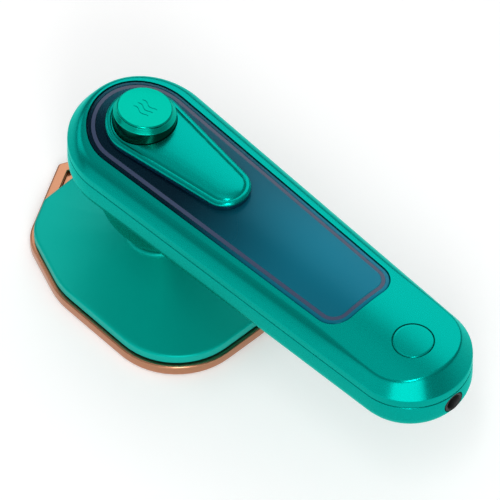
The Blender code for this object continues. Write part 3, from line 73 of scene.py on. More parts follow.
def add_node(
    tree: bpy.types.NodeTree, kind: str, settings: dict | None = None, inputs: dict | None = None
) -> bpy.types.Node:
    """Add a node with its settings, values and links.

    Args:
        tree: The tree that the node goes into.
        kind: The node's type name.
        settings: Attributes of the node.
        inputs: Values by socket name or number; a socket as a value is linked.

    Returns:
        The new node.
    """
    node = tree.nodes.new(kind)
    for key, value in (settings or {}).items():
        setattr(node, key, value)
    for key, value in (inputs or {}).items():
        if isinstance(value, bpy.types.NodeSocket):
            tree.links.new(value, node.inputs[key])
        else:
            node.inputs[key].default_value = value
    return node


def linear(hex_colour: str, gain: float = 1.0) -> tuple[float, float, float, float]:
    """Turn an sRGB hex colour to linear RGBA.

    Args:
        hex_colour: Six hex digits.
        gain: A factor on the linear colour.

    Returns:
        Linear red, green, blue and an alpha of 1.
    """
    channels = [int(hex_colour[i:i + 2], 16) / 255 for i in (0, 2, 4)]
    spread = [c / 12.92 if c <= 0.04045 else ((c + 0.055) / 1.055) ** 2.4 for c in channels]
    return tuple(min(1.0, c * gain) for c in spread) + (1.0,)


# ---------------------------------------------------------------- finishes

@dataclass(frozen=True)
class Finish:
    """A moulded, cast or coated surface whose fine grain varies its tone, gloss and height."""

    name: str
    slot: str
    colour: str
    roughness: float
    metallic: float = 0.0
    grain_mm: float = 0.8
    relief_mm: float = 0.004
    tone: float = 0.04
    gloss: float = 0.03
    sockets: tuple[tuple[str, object], ...] = ()

    def pattern(self, tree: bpy.types.NodeTree, place: bpy.types.NodeSocket) -> bpy.types.NodeSocket:
        """Make the grain.

        Args:
            tree: The material's tree.
            place: Object coordinates.

        Returns:
            A value from 0 to 1.
        """
        noise = {"Vector": place, "Scale": 1 / (self.grain_mm * MM), "Detail": 3.0, "Roughness": 0.55}
        return add_node(tree, "ShaderNodeTexNoise", {}, noise).outputs["Fac"]

    def tint(
        self, tree: bpy.types.NodeTree, place: bpy.types.NodeSocket, grain: bpy.types.NodeSocket
    ) -> bpy.types.NodeSocket:
        """Make the base colour.

        Args:
            tree: The material's tree.
            place: Object coordinates; not used here.
            grain: The grain's value.

        Returns:
            A colour that the grain varies a little.
        """
        ends = {0: grain, 6: linear(self.colour, 1 - self.tone), 7: linear(self.colour, 1 + self.tone)}
        return add_node(tree, "ShaderNodeMix", {"data_type": "RGBA"}, ends).outputs[2]

    def material(self) -> bpy.types.Material:
        """Return this finish's material, made at the first call."""
        found = bpy.data.materials.get(self.name)
        if found:
            return found
        made = bpy.data.materials.new(self.name)
        made.use_nodes = True
        tree = made.node_tree
        shader = tree.nodes["Principled BSDF"]
        place = add_node(tree, "ShaderNodeTexCoord").outputs["Object"]
        grain = self.pattern(tree, place)
        spread = {
            "Value": grain, "To Min": self.roughness - self.gloss, "To Max": self.roughness + self.gloss
        }
        rough = add_node(tree, "ShaderNodeMapRange", {}, spread).outputs["Result"]
        bump = add_node(tree, "ShaderNodeBump", {}, {"Height": grain, "Distance": self.relief_mm * MM})
        tree.links.new(self.tint(tree, place, grain), shader.inputs["Base Color"])
        tree.links.new(rough, shader.inputs["Roughness"])
        tree.links.new(bump.outputs["Normal"], shader.inputs["Normal"])
        shader.inputs["Metallic"].default_value = self.metallic
        for key, value in self.sockets:
            shader.inputs[key].default_value = value
        made.diffuse_color = linear(self.colour)
        return made


@dataclass(frozen=True)
class SmokedClearPaintedShade(Finish):
    """Clear moulded plastic with a smoke tint; painted shade makes it darkest over the pump and the near side
    and fades towards the tail.
    """

    painted_shade: str = "03101F"
    start_mm: tuple[float, float] = (20.0, -14.0)
    run_mm: tuple[float, float] = (70.0, 26.0)
    along_share: float = 0.62

    def tint(
        self, tree: bpy.types.NodeTree, place: bpy.types.NodeSocket, grain: bpy.types.NodeSocket
    ) -> bpy.types.NodeSocket:
        """Make the tint.

        Args:
            tree: The material's tree.
            place: Object coordinates.
            grain: The grain's value; not used here.

        Returns:
            A colour that goes from the painted shade to the plain tint along and across the tank.
        """
        split = add_node(tree, "ShaderNodeSeparateXYZ", {}, {"Vector": place})
        shares = []
        for socket, start, run in zip(split.outputs, self.start_mm, self.run_mm):
            spread = {"Value": socket, "From Min": start * MM, "From Max": (start + run) * MM}
            shares.append(
                add_node(tree, "ShaderNodeMapRange", {"interpolation_type": "SMOOTHSTEP"}, spread).outputs[
                    "Result"
                ],
            )
        along = add_node(
            tree,
            "ShaderNodeMath",
            {"operation": "MULTIPLY_ADD"},
            {0: shares[0], 1: self.along_share, 2: 0.0},
        )
        both = add_node(tree, "ShaderNodeMath", {"operation": "MULTIPLY_ADD"},
                        {0: shares[1], 1: 1 - self.along_share, 2: along.outputs[0]})
        # The dark end is painted shade, standing in for the deep tank seen through the window.
        ends = {0: both.outputs[0], 6: linear(self.painted_shade), 7: linear(self.colour)}
        return add_node(tree, "ShaderNodeMix", {"data_type": "RGBA"}, ends).outputs[2]


@dataclass(frozen=True)
class Brushed(Finish):
    """Drawn or rolled metal, whose grain is drawn out along one axis."""

    stretch: tuple[float, float, float] = (0.08, 1.0, 1.0)

    def pattern(self, tree: bpy.types.NodeTree, place: bpy.types.NodeSocket) -> bpy.types.NodeSocket:
        """Make the drawn-out grain.

        Args:
            tree: The material's tree.
            place: Object coordinates.

        Returns:
            A value from 0 to 1.
        """
        turned = add_node(tree, "ShaderNodeMapping", {}, {"Vector": place, "Scale": self.stretch})
        return super().pattern(tree, turned.outputs["Vector"])


@dataclass(frozen=True)
class PrintedBoard(Finish):
    """Solder mask over copper tracks, which show as a faint raised grid."""

    def pattern(self, tree: bpy.types.NodeTree, place: bpy.types.NodeSocket) -> bpy.types.NodeSocket:
        """Make the tracks.

        Args:
            tree: The material's tree.
            place: Object coordinates.

        Returns:
            A value from 0 to 1.
        """
        bricks = {"Vector": place, "Scale": 1 / (self.grain_mm * MM), "Mortar Size": 0.03}
        return add_node(tree, "ShaderNodeTexBrick", {}, bricks).outputs["Fac"]


# Moulded ABS with a metallic pigment: the lustre tints its highlights green, with no white in them.
GREEN_EDGE = (("Specular Tint", (0.05, 1.0, 0.9, 1.0)),)
LUSTRE_GREEN = Finish(
    "lustre_green_abs", "shell_green", "009C90", 0.27, 0.94, 0.5, 0.0003, 0.03, 0.02, GREEN_EDGE
)
# The buttons' ABS has a polished mould, so they catch the lights a little harder.
POLISHED_GREEN = Finish(
    "polished_green_abs", "button_green", "00A690", 0.24, 0.94, 0.5, 0.0003, 0.03, 0.02, GREEN_EDGE
)
# The cover is blasted satin, so it holds its green in the handle's shade.
SATIN_GREEN = Finish(
    "satin_green_abs", "shell_green", "00A89A", 0.36, 0.3, 0.5, 0.0003, 0.03, 0.02, GREEN_EDGE
)
# The button's side keeps the mould's mirror polish, but its green is painted far darker than the top's:
# painted shade on the upright wall.
SHADED_WALL_GREEN = Finish(
    "mirror_green_abs_painted_shade", "button_green", "004438", 0.16, 0.9, 0.5, 0.0005, 0.03, 0.02, GREEN_EDGE
)
# Smoked clear plastic: a dark gloss that lets the tank below show faintly, with painted shade over its head
# end and near side.
SHADED_SMOKE = SmokedClearPaintedShade("smoked_clear_plastic_painted_shade", "smoked_blue", "107E98", 0.2, 0.0, 6.0, 0.0001, 0.02, 0.02,
                    (("Alpha", 0.86), ("IOR", 1.42), ("Specular Tint", (0.1, 0.55, 0.75, 1.0))))
# The tank's own plastic is the same tint, thick enough to look nearly black.
TANK_NAVY = Finish("deep_blue_tank_plastic", "tank_blue", "0C3C58", 0.25, 0.0, 3.0, 0.003, 0.06)
# A weld between clear parts scatters a little light, so it looks a dull, milky blue beside the window.
WELD_GREY = Finish("milky_weld_bead", "tank_blue", "2C3C5C", 0.25, 0.0, 0.7, 0.001, 0.12)
# Smoked plastic again on the panel's foot, painted dark navy: painted shade under the rim and painted
# reflection of the dark window below it.
SHADED_SMOKED_FOOT = Finish("smoked_panel_foot_painted_shade", "smoked_blue", "06283A", 0.12, 0.0, 3.0, 0.001, 0.05, 0.02)
# Cast aluminium under a copper-coloured ceramic coat: a soft metal shine with a faint orange peel.
COPPER = Finish("copper_ceramic_coat", "copper_coating", "B88264", 0.24, 1.0, 1.5, 0.001, 0.06, 0.05)
ALLOY = Finish("die_cast_aluminium", "die_cast_alloy", "A9ABAE", 0.42, 1.0, 0.9, 0.02, 0.08, 0.08)
ZINC = Brushed("zinc_plated_steel", "plated_steel", "B9BCC2", 0.3, 1.0, 0.3, 0.004, 0.08, 0.06)
DRAWN_BRASS = Brushed(
    "drawn_brass", "brass", "C7A04E", 0.28, 1.0, 0.3, 0.004, 0.08, 0.06, (), (1.0, 1.0, 0.06)
)
BLACK_RESIN = Finish("black_heat_resin", "black_plastic", "141617", 0.5, 0.0, 0.6, 0.02, 0.15, 0.06)
BLACK_RUBBER = Finish("black_moulded_rubber", "black_rubber", "101111", 0.62, 0.0, 0.5, 0.02, 0.15, 0.06)
CLEAR_SILICONE = Finish("translucent_silicone", "silicone", "D7DAD6", 0.42, 0.0, 2.0, 0.01, 0.05, 0.05,
                        (("Subsurface Weight", 0.2),))
WHITE_NYLON = Finish("white_moulded_nylon", "white_nylon", "E6E6E0", 0.4, 0.0, 0.7, 0.01, 0.04, 0.05)
BOARD_GREEN = PrintedBoard("green_solder_mask", "circuit_board", "1E5A36", 0.4, 0.0, 2.5, 0.03, 0.2, 0.05)
FIRED_CERAMIC = Finish("fired_heater_ceramic", "heater_ceramic", "E2DCCB", 0.65, 0.0, 0.4, 0.03, 0.07, 0.08)
RED_LENS = Finish("red_lens_plastic", "led_lens", "D94A2B", 0.15, 0.0, 1.0, 0.002, 0.05, 0.02)

CARRIED_OVER: dict[Finish, tuple[str, ...]] = {
    BLACK_RESIN: ("heat_shield", "swivel_spindle", "spindle_retainer", "tact_switch"),
    ALLOY: ("steam_chamber", "thermostat"),
    ZINC: ("heater_clamp", "friction_washer", "pump_spring", "valve_ball"),
    DRAWN_BRASS: ("feed_pipe", "thermal_fuse"),
    BLACK_RUBBER: ("swivel_seal",),
    CLEAR_SILICONE: ("delivery_hose", "suction_hose"),
    WHITE_NYLON: ("pump_barrel", "pump_cap", "pump_piston", "switch_plunger"),
    BOARD_GREEN: ("control_board",),
    FIRED_CERAMIC: ("ptc_heater",),
    RED_LENS: ("pilot_light",),
    TANK_NAVY: ("filler_neck",),
}


# ---------------------------------------------------------------- outlines, in millimetres

def smooth_step(low: float, high: float, value: float) -> float:
    """Ease from 0 at low to 1 at high.

    Args:
        low: Where the ease starts.
        high: Where it ends.
        value: The place between them.

    Returns:
        The eased share.
    """
    share = max(0.0, min(1.0, (value - low) / (high - low)))
    return share * share * (3 - 2 * share)


def soft_minimum(a: float, b: float, width: float) -> float:
    """Take the lower of two heights, rounded where they meet.

    Args:
        a: One height.
        b: The other.
        width: How wide the rounding is.

    Returns:
        The blended height.
    """
    share = max(0.0, min(1.0, 0.5 + 0.5 * (b - a) / width))
    return b + (a - b) * share - width * share * (1 - share)


def arc(centre: Sequence[float], radius: float, start: float, turn: float, steps: int) -> Ring:
    """Lay points on an arc.

    Args:
        centre: Its centre.
        radius: Its radius.
        start: Its first angle, in radians.
        turn: How far it runs.
        steps: How many chords it has.

    Returns:
        The points, both ends included.
    """
    angles = [start + turn * i / steps for i in range(steps + 1)]
    return [Vector((centre[0] + radius * math.cos(a), centre[1] + radius * math.sin(a))) for a in angles]


def band_outline(
    circles: Sequence[Circle], inset: float, turn_steps: int = 36, run_steps: int = 24
) -> Ring:
    """Stretch a band round circles, counter-clockwise.

    Args:
        circles: Each circle's x, y and radius.
        inset: How far the outline is moved in.
        turn_steps: Chords on each circle.
        run_steps: Points on each straight run.

    Returns:
        The outline's points.
    """
    normals = []
    for i, (x0, y0, r0) in enumerate(circles):
        x1, y1, r1 = circles[(i + 1) % len(circles)]
        along = Vector((x1 - x0, y1 - y0))
        lean = (r0 - r1) / along.length
        along.normalize()
        normals.append(lean * along + math.sqrt(1 - lean * lean) * Vector((along.y, -along.x)))
    arcs = []
    for i, (x, y, r) in enumerate(circles):
        start = math.atan2(normals[i - 1].y, normals[i - 1].x)
        end = math.atan2(normals[i].y, normals[i].x)
        arcs.append(arc((x, y), max(r - inset, 0.01), start, (end - start) % math.tau, turn_steps))
    outline = []
    for i, points in enumerate(arcs):
        following = arcs[(i + 1) % len(arcs)][0]
        outline += points + [points[-1].lerp(following, k / run_steps) for k in range(1, run_steps)]
    return outline


@dataclass(frozen=True)
class SolePlan:
    """The soleplate's plan: a rounded shield with a pointed nose, which the cover's plan is drawn in from."""

    tip: float = 55.8
    heel: float = 57.2
    shoulder: tuple[float, float, float] = (-38.2, 34.5, 17.8)
    hip: tuple[float, float, float] = (-10.4, 45.4, 33.8)
    corner: tuple[float, float, float] = (55.3, 47.0, 29.9)

    def corners(self) -> list[tuple[Vector, float]]:
        """Return the corners, counter-clockwise from the tip, each with its rounding."""
        left = [self.shoulder, self.hip, self.corner]
        right = [(x, -y, r) for x, y, r in left]
        ring = [(-self.tip, 0.0, 2.0), *right, (self.heel, 0.0, 60.0), *left[::-1]]
        return [(Vector((x, y)), r) for x, y, r in ring]

    def outline(
        self,
        inset: float = 0.0,
        front: float | None = None,
        back: float | None = None,
        radius: float = 3.0,
        steps: int = 14,
    ) -> Ring:
        """Round the corners of the plan.

        Args:
            inset: How far the sides are moved in.
            front: Where a line across cuts the nose off.
            back: Where a line across cuts the heel off.
            radius: The rounding of the corners that a cut makes.
            steps: Chords on each corner.

        Returns:
            The outline's points.
        """
        corners = self.corners()
        moved = []
        for i, (point, rounding) in enumerate(corners):
            before = (point - corners[i - 1][0]).normalized()
            after = (corners[(i + 1) % len(corners)][0] - point).normalized()
            sides = Vector((-before.y, before.x)) + Vector((-after.y, after.x))
            share = inset / (1 + Vector((-before.y, before.x)).dot(Vector((-after.y, after.x))))
            moved.append((point + sides * share, max(rounding - inset, 0.6)))
        for limit, side in ((front, 1), (back, -1)):
            moved = moved if limit is None else self.clipped(moved, limit, side, radius)
        outline = []
        for i, (point, rounding) in enumerate(moved):
            back_way = (moved[i - 1][0] - point).normalized()
            ahead = (moved[(i + 1) % len(moved)][0] - point).normalized()
            half = back_way.angle(ahead) / 2
            centre = point + (back_way + ahead).normalized() * rounding / math.sin(half)
            first = point + back_way * rounding / math.tan(half) - centre
            last = point + ahead * rounding / math.tan(half) - centre
            start = math.atan2(first.y, first.x)
            turn = (math.atan2(last.y, last.x) - start + math.pi) % math.tau - math.pi
            outline += arc(centre, rounding, start, turn, steps)
        return outline

    @staticmethod
    def clipped(corners: list[tuple[Vector, float]], limit: float, side: int, radius: float) -> list[
        tuple[Vector, float]
    ]:
        """Cut corners off with a line across.

        Args:
            corners: The corners and their roundings.
            limit: Where the line lies along X.
            side: 1 to keep what lies beyond it, -1 to keep what lies before it.
            radius: The rounding of the new corners.

        Returns:
            The corners that are left.
        """
        kept = []
        for i, (point, rounding) in enumerate(corners):
            following = corners[(i + 1) % len(corners)][0]
            inside = (point.x - limit) * side > 0
            if inside:
                kept.append((point, rounding))
            if inside != ((following.x - limit) * side > 0):
                kept.append((point.lerp(following, (limit - point.x) / (following.x - point.x)), radius))
        return kept


# ---------------------------------------------------------------- meshes

def at_height(outline: Iterable[Vector], z: float) -> Ring:
    """Raise an outline to one height.

    Args:
        outline: The outline's points.
        z: The height.

    Returns:
        The raised points.
    """
    return [Vector((p.x, p.y, z)) for p in outline]


def new_object(name: str, mesh: bpy.types.Mesh) -> bpy.types.Object:
    """Link an object for a mesh.

    Args:
        name: The object's name.
        mesh: Its mesh, in metres.

    Returns:
        The object, at the origin.
    """
    made = bpy.data.objects.new(name, mesh)
    bpy.context.scene.collection.objects.link(made)
    return made


def finished(name: str, bm: bmesh.types.BMesh, crease: float = 32.0) -> bpy.types.Object:
    """Turn a bmesh in millimetres into a smooth-shaded object.

    Args:
        name: The object's name.
        bm: The mesh, which this frees.
        crease: The edge angle, in degrees, past which an edge stays sharp.

    Returns:
        The object.
    """
    bmesh.ops.remove_doubles(bm, verts=bm.verts, dist=0.002)
    bmesh.ops.recalc_face_normals(bm, faces=bm.faces)
    bmesh.ops.scale(bm, verts=bm.verts, vec=(MM, MM, MM))
    mesh = bpy.data.meshes.new(name)
    bm.to_mesh(mesh)
    bm.free()
    mesh.shade_smooth()
    mesh.set_sharp_from_angle(angle=math.radians(crease))
    return new_object(name, mesh)


def skin(rings: Sequence[Ring], looped: bool = False, capped: bool = True) -> bmesh.types.BMesh:
    """Stretch faces over rings of equally many points.

    Args:
        rings: The rings, in order.
        looped: Whether the last ring joins the first.
        capped: Whether the end rings are filled.

    Returns:
        The mesh, in millimetres.
    """
    bm = bmesh.new()
    rows = [[bm.verts.new(point) for point in ring] for ring in rings]
    pairs = list(zip(rows, rows[1:])) + ([(rows[-1], rows[0])] if looped else [])
    for low, high in pairs:
        for i in range(len(low)):
            j = (i + 1) % len(low)
            bm.faces.new((low[i], low[j], high[j], high[i]))
    if capped and not looped:
        bm.faces.new(rows[0][::-1])
        bm.faces.new(rows[-1])
    return bm


def sliced(
    bm: bmesh.types.BMesh, axis: Sequence[float], places: Iterable[float], cap_only: bool = False
) -> None:
    """Cut a mesh with upright planes across an axis, so that it can bend between them.

    Args:
        bm: The mesh, in millimetres.
        axis: The planes' normal, X_AXIS or Y_AXIS.
        places: Where each plane stands along it.
        cap_only: Whether only the faces with the cap's mark are cut.
    """
    for place in places:
        if cap_only:
            cap = [f for f in bm.faces if f.material_index == CAP_MARK]
            geometry = cap + list({e for f in cap for e in f.edges}) + list(
                {v for f in cap for v in f.verts}
            )
        else:
            geometry = bm.verts[:] + bm.edges[:] + bm.faces[:]
        bmesh.ops.bisect_plane(bm, geom=geometry, plane_co=[c * place for c in axis], plane_no=axis)


def bend_cap(bm: bmesh.types.BMesh, height: Callable[[float], float], step: float) -> bmesh.types.BMesh:
    """Cut the last cap of a skin in strips both ways and lay it on a surface that is round across.

    Args:
        bm: The skin, whose last face is the cap.
        height: The surface's height at y.
        step: How wide the strips along X are; those across are wider, as the surface is straight that way.

    Returns:
        The same mesh.
    """
    bm.faces.ensure_lookup_table()
    bm.faces[-1].material_index = CAP_MARK
    reach = max(v.co.y for v in bm.faces[-1].verts)
    sliced(bm, Y_AXIS, [i * step for i in range(-int(reach / step), int(reach / step) + 1)], True)
    sliced(bm, X_AXIS, [i * 8.0 + 0.3 for i in range(-4, 20)], True)
    for face in bm.faces:
        if face.material_index == CAP_MARK:
            for vert in face.verts:
                vert.co.z = height(vert.co.y)
            face.material_index = 0
    return bm


def lathe(
    profile: Sequence[tuple[float, float]], centre: Sequence[float] = (0.0, 0.0), steps: int = 96
) -> bmesh.types.BMesh:
    """Turn a closed profile about an upright axis.

    Args:
        profile: Radius and height of each point, in order.
        centre: Where the axis stands.
        steps: How many sides the turned piece has.

    Returns:
        The mesh, in millimetres; points on the axis are merged later.
    """
    rings = [
        at_height(arc(centre, max(r, 0.0), 0.0, math.tau * (steps - 1) / steps, steps - 1), z)
        for r, z in profile
    ]
    open_ends = profile[0][0] <= 0 and profile[-1][0] <= 0
    return skin(rings, looped=not open_ends, capped=False)


def rod(
    radius: float, low: float, high: float, centre: Sequence[float] = (0.0, 0.0), steps: int = 96
) -> bmesh.types.BMesh:
    """Turn an upright rod.

    Args:
        radius: Its radius.
        low: Its lower end.
        high: Its upper end.
        centre: Where its axis stands.
        steps: How many sides it has.

    Returns:
        The mesh, in millimetres.
    """
    return lathe([(0.0, low), (radius, low), (radius, high), (0.0, high)], centre, steps)


def laid(bm: bmesh.types.BMesh, z: float) -> bmesh.types.BMesh:
    """Lay an upright turned piece along X.

    Args:
        bm: The piece, on the upright axis through the origin.
        z: The height of its axis once it lies.

    Returns:
        The same mesh.
    """
    bmesh.ops.rotate(bm, verts=bm.verts, cent=(0, 0, 0), matrix=Matrix.Rotation(math.pi / 2, 3, "Y"))
    bmesh.ops.translate(bm, verts=bm.verts, vec=(0, 0, z))
    return bm


def smooth_path(points: Sequence[tuple[float, float]], parts: int) -> list[tuple[float, float]]:
    """Run a smooth curve through points.

    Args:
        points: The points it goes through.
        parts: How many pieces each span is cut into.

    Returns:
        The finer points, both ends included.
    """
    known = [Vector(p) for p in (points[0], *points, points[-1])]
    fine = []
    for a, b, c, d in zip(known, known[1:], known[2:], known[3:]):
        for i in range(parts):
            t = i / parts
            p = 0.5 * (
                2 * b + (c - a) * t + (2 * a - 5 * b + 4 * c - d) * t * t + (3 * b - a - 3 * c + d) * t ** 3
            )
            fine.append((p.x, p.y))
    return fine + [tuple(points[-1])]


def combined(target: bpy.types.Object, operation: str, *tools: bpy.types.Object) -> bpy.types.Object:
    """Cut or join other solids, which are used up.

    Args:
        target: The solid that stays.
        operation: DIFFERENCE, UNION or INTERSECT.
        tools: The other solids.

    Returns:
        The target, with a plain mesh.
    """
    for tool in tools:
        modifier = target.modifiers.new("Shape", "BOOLEAN")
        modifier.operation = operation
        modifier.solver = "EXACT"
        modifier.object = tool
    baked(target)
    for tool in tools:
        bpy.data.objects.remove(tool, do_unlink=True)
    return target


def baked(target: bpy.types.Object) -> bpy.types.Object:
    """Replace an object's mesh by what its modifiers make of it.

    Args:
        target: The object.

    Returns:
        The same object, with no modifiers.
    """
    graph = bpy.context.evaluated_depsgraph_get()
    mesh = bpy.data.meshes.new_from_object(target.evaluated_get(graph))
    mesh.set_sharp_from_angle(angle=math.radians(SHARP_ANGLE))
    target.modifiers.clear()
    target.data = mesh
    return target


# ---------------------------------------------------------------- what repeats: Geometry Nodes

class Repeat(Enum):
    """What a Geometry Nodes tree does at each point."""

    PLACE = "place a copy"
    DRILL = "place a copy that cuts"
    SWEEP = "sweep a bead"


class NodeWork:
    """Geometry Nodes trees that place, drill or sweep, each baked to a plain mesh."""

    @staticmethod
    def tree(job: Repeat) -> bpy.types.GeometryNodeTree:
        """Build a job's tree.

        Args:
            job: What the tree does.

        Returns:
            The tree, whose inputs are Tool, Radius, Seed and Finish.
        """
        name = f"steamer_{job.name.lower()}"
        found = bpy.data.node_groups.get(name)
        if found:
            return found
        tree = bpy.data.node_groups.new(name, "GeometryNodeTree")
        face = tree.interface
        face.new_socket("Geometry", in_out="INPUT", socket_type="NodeSocketGeometry")
        face.new_socket("Tool", in_out="INPUT", socket_type="NodeSocketObject")
        face.new_socket("Radius", in_out="INPUT", socket_type="NodeSocketFloat")
        face.new_socket("Seed", in_out="INPUT", socket_type="NodeSocketInt")
        face.new_socket("Finish", in_out="INPUT", socket_type="NodeSocketMaterial")
        face.new_socket("Geometry", in_out="OUTPUT", socket_type="NodeSocketGeometry")
        given = add_node(tree, "NodeGroupInput").outputs
        if job is Repeat.SWEEP:
            curve = add_node(tree, "GeometryNodeMeshToCurve", {}, {"Mesh": given["Geometry"]})
            section = add_node(
                tree, "GeometryNodeCurvePrimitiveCircle", {}, {"Resolution": 10, "Radius": given["Radius"]}
            )
            swept = add_node(
                tree,
                "GeometryNodeCurveToMesh",
                {},
                {"Curve": curve.outputs[0], "Profile Curve": section.outputs[0], "Fill Caps": True},
            )
            shape = swept.outputs[0]
        else:
            source = add_node(tree, "GeometryNodeObjectInfo", {}, {"Object": given["Tool"]})
            points = add_node(tree, "GeometryNodeMeshToPoints", {}, {"Mesh": given["Geometry"]}).outputs[0]
            turn = add_node(
                tree,
                "FunctionNodeRandomValue",
                {"data_type": "FLOAT"},
                {"Max": math.tau, "Seed": given["Seed"]},
            )
            angle = add_node(tree, "ShaderNodeCombineXYZ", {}, {"Z": turn.outputs[1]})
            copies = add_node(tree, "GeometryNodeInstanceOnPoints", {},
                              {"Points": points, "Instance": source.outputs["Geometry"],
                               "Rotation": angle.outputs[0]})
            shape = copies.outputs[0]
        real = add_node(tree, "GeometryNodeRealizeInstances", {}, {"Geometry": shape}).outputs[0]
        smooth = add_node(tree, "GeometryNodeSetShadeSmooth", {}, {"Geometry": real}).outputs[0]
        dressed = add_node(
            tree, "GeometryNodeSetMaterial", {}, {"Geometry": smooth, "Material": given["Finish"]}
        )
        add_node(tree, "NodeGroupOutput", {}, {"Geometry": dressed.outputs[0]})
        return tree

    @classmethod
    def run(
        cls,
        job: Repeat,
        name: str,
        points: Sequence[Sequence[float]],
        finish: Finish,
        tool: bpy.types.Object | None = None,
        radius_mm: float = 0.5,
        closed: bool = True,
    ) -> bpy.types.Object:
        """Run a tree over points and bake it.

        Args:
            job: What the tree does.
            name: The new object's name.
            points: Places in millimetres, or the path of a bead.
            finish: The finish that the tree sets.
            tool: The object that is copied, which is used up.
            radius_mm: The bead's radius.
            closed: Whether the bead's path closes.

        Returns:
            The new object, with a plain mesh.
        """
        mesh = bpy.data.meshes.new(name)
        count = len(points)
        edges = []
        if job is Repeat.SWEEP:
            edges = [(i, (i + 1) % count) for i in range(count if closed else count - 1)]
        mesh.from_pydata([tuple(c * MM for c in p) for p in points], edges, [])
        made = new_object(name, mesh)
        modifier = made.modifiers.new("Work", "NODES")
        tree = cls.tree(job)
        modifier.node_group = tree
        sockets = {
            item.name: item.identifier for item in tree.interface.items_tree if item.in_out == "INPUT"
        }
        modifier[sockets["Tool"]] = tool
        modifier[sockets["Radius"]] = radius_mm * MM
        modifier[sockets["Seed"]] = 7
        modifier[sockets["Finish"]] = finish.material()
        made.update_tag()
        bpy.context.view_layer.update()
        baked(made)
        if tool is not None:
            bpy.data.objects.remove(tool, do_unlink=True)
        return made


# ---------------------------------------------------------------- pieces

def placed(piece: bpy.types.Object, body: Body, finish: Finish, *nodes: str) -> bpy.types.Object:
    """Dress a piece, hang it on its body and let it stand for CAD nodes.

    Args:
        piece: The finished piece.
        body: The body that it rides on.
        finish: Its finish, if it has no material yet.
        nodes: The CAD nodes that it replaces.

    Returns:
        The piece.
    """
    if not piece.data.materials:
        piece.data.materials.append(finish.material())
    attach(piece, body.value)
    if nodes:
        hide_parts(*nodes)
    LOG.info("%s rides %s: %d faces", piece.name, body.value, len(piece.data.polygons))
    return piece


def two_toned(piece: bpy.types.Object, plain: Finish, other: Finish,
              chosen: Callable[[bpy.types.MeshPolygon], bool]) -> bpy.types.Object:
    """Give a piece two finishes.

    Args:
        piece: The piece.
        plain: The finish of most of its faces.
        other: The finish of the chosen faces.
        chosen: Tells which faces take the other finish.

    Returns:
        The same piece.
    """
    piece.data.materials.clear()
    piece.data.materials.append(plain.material())
    piece.data.materials.append(other.material())
    for face in piece.data.polygons:
        face.material_index = int(chosen(face))
    return piece


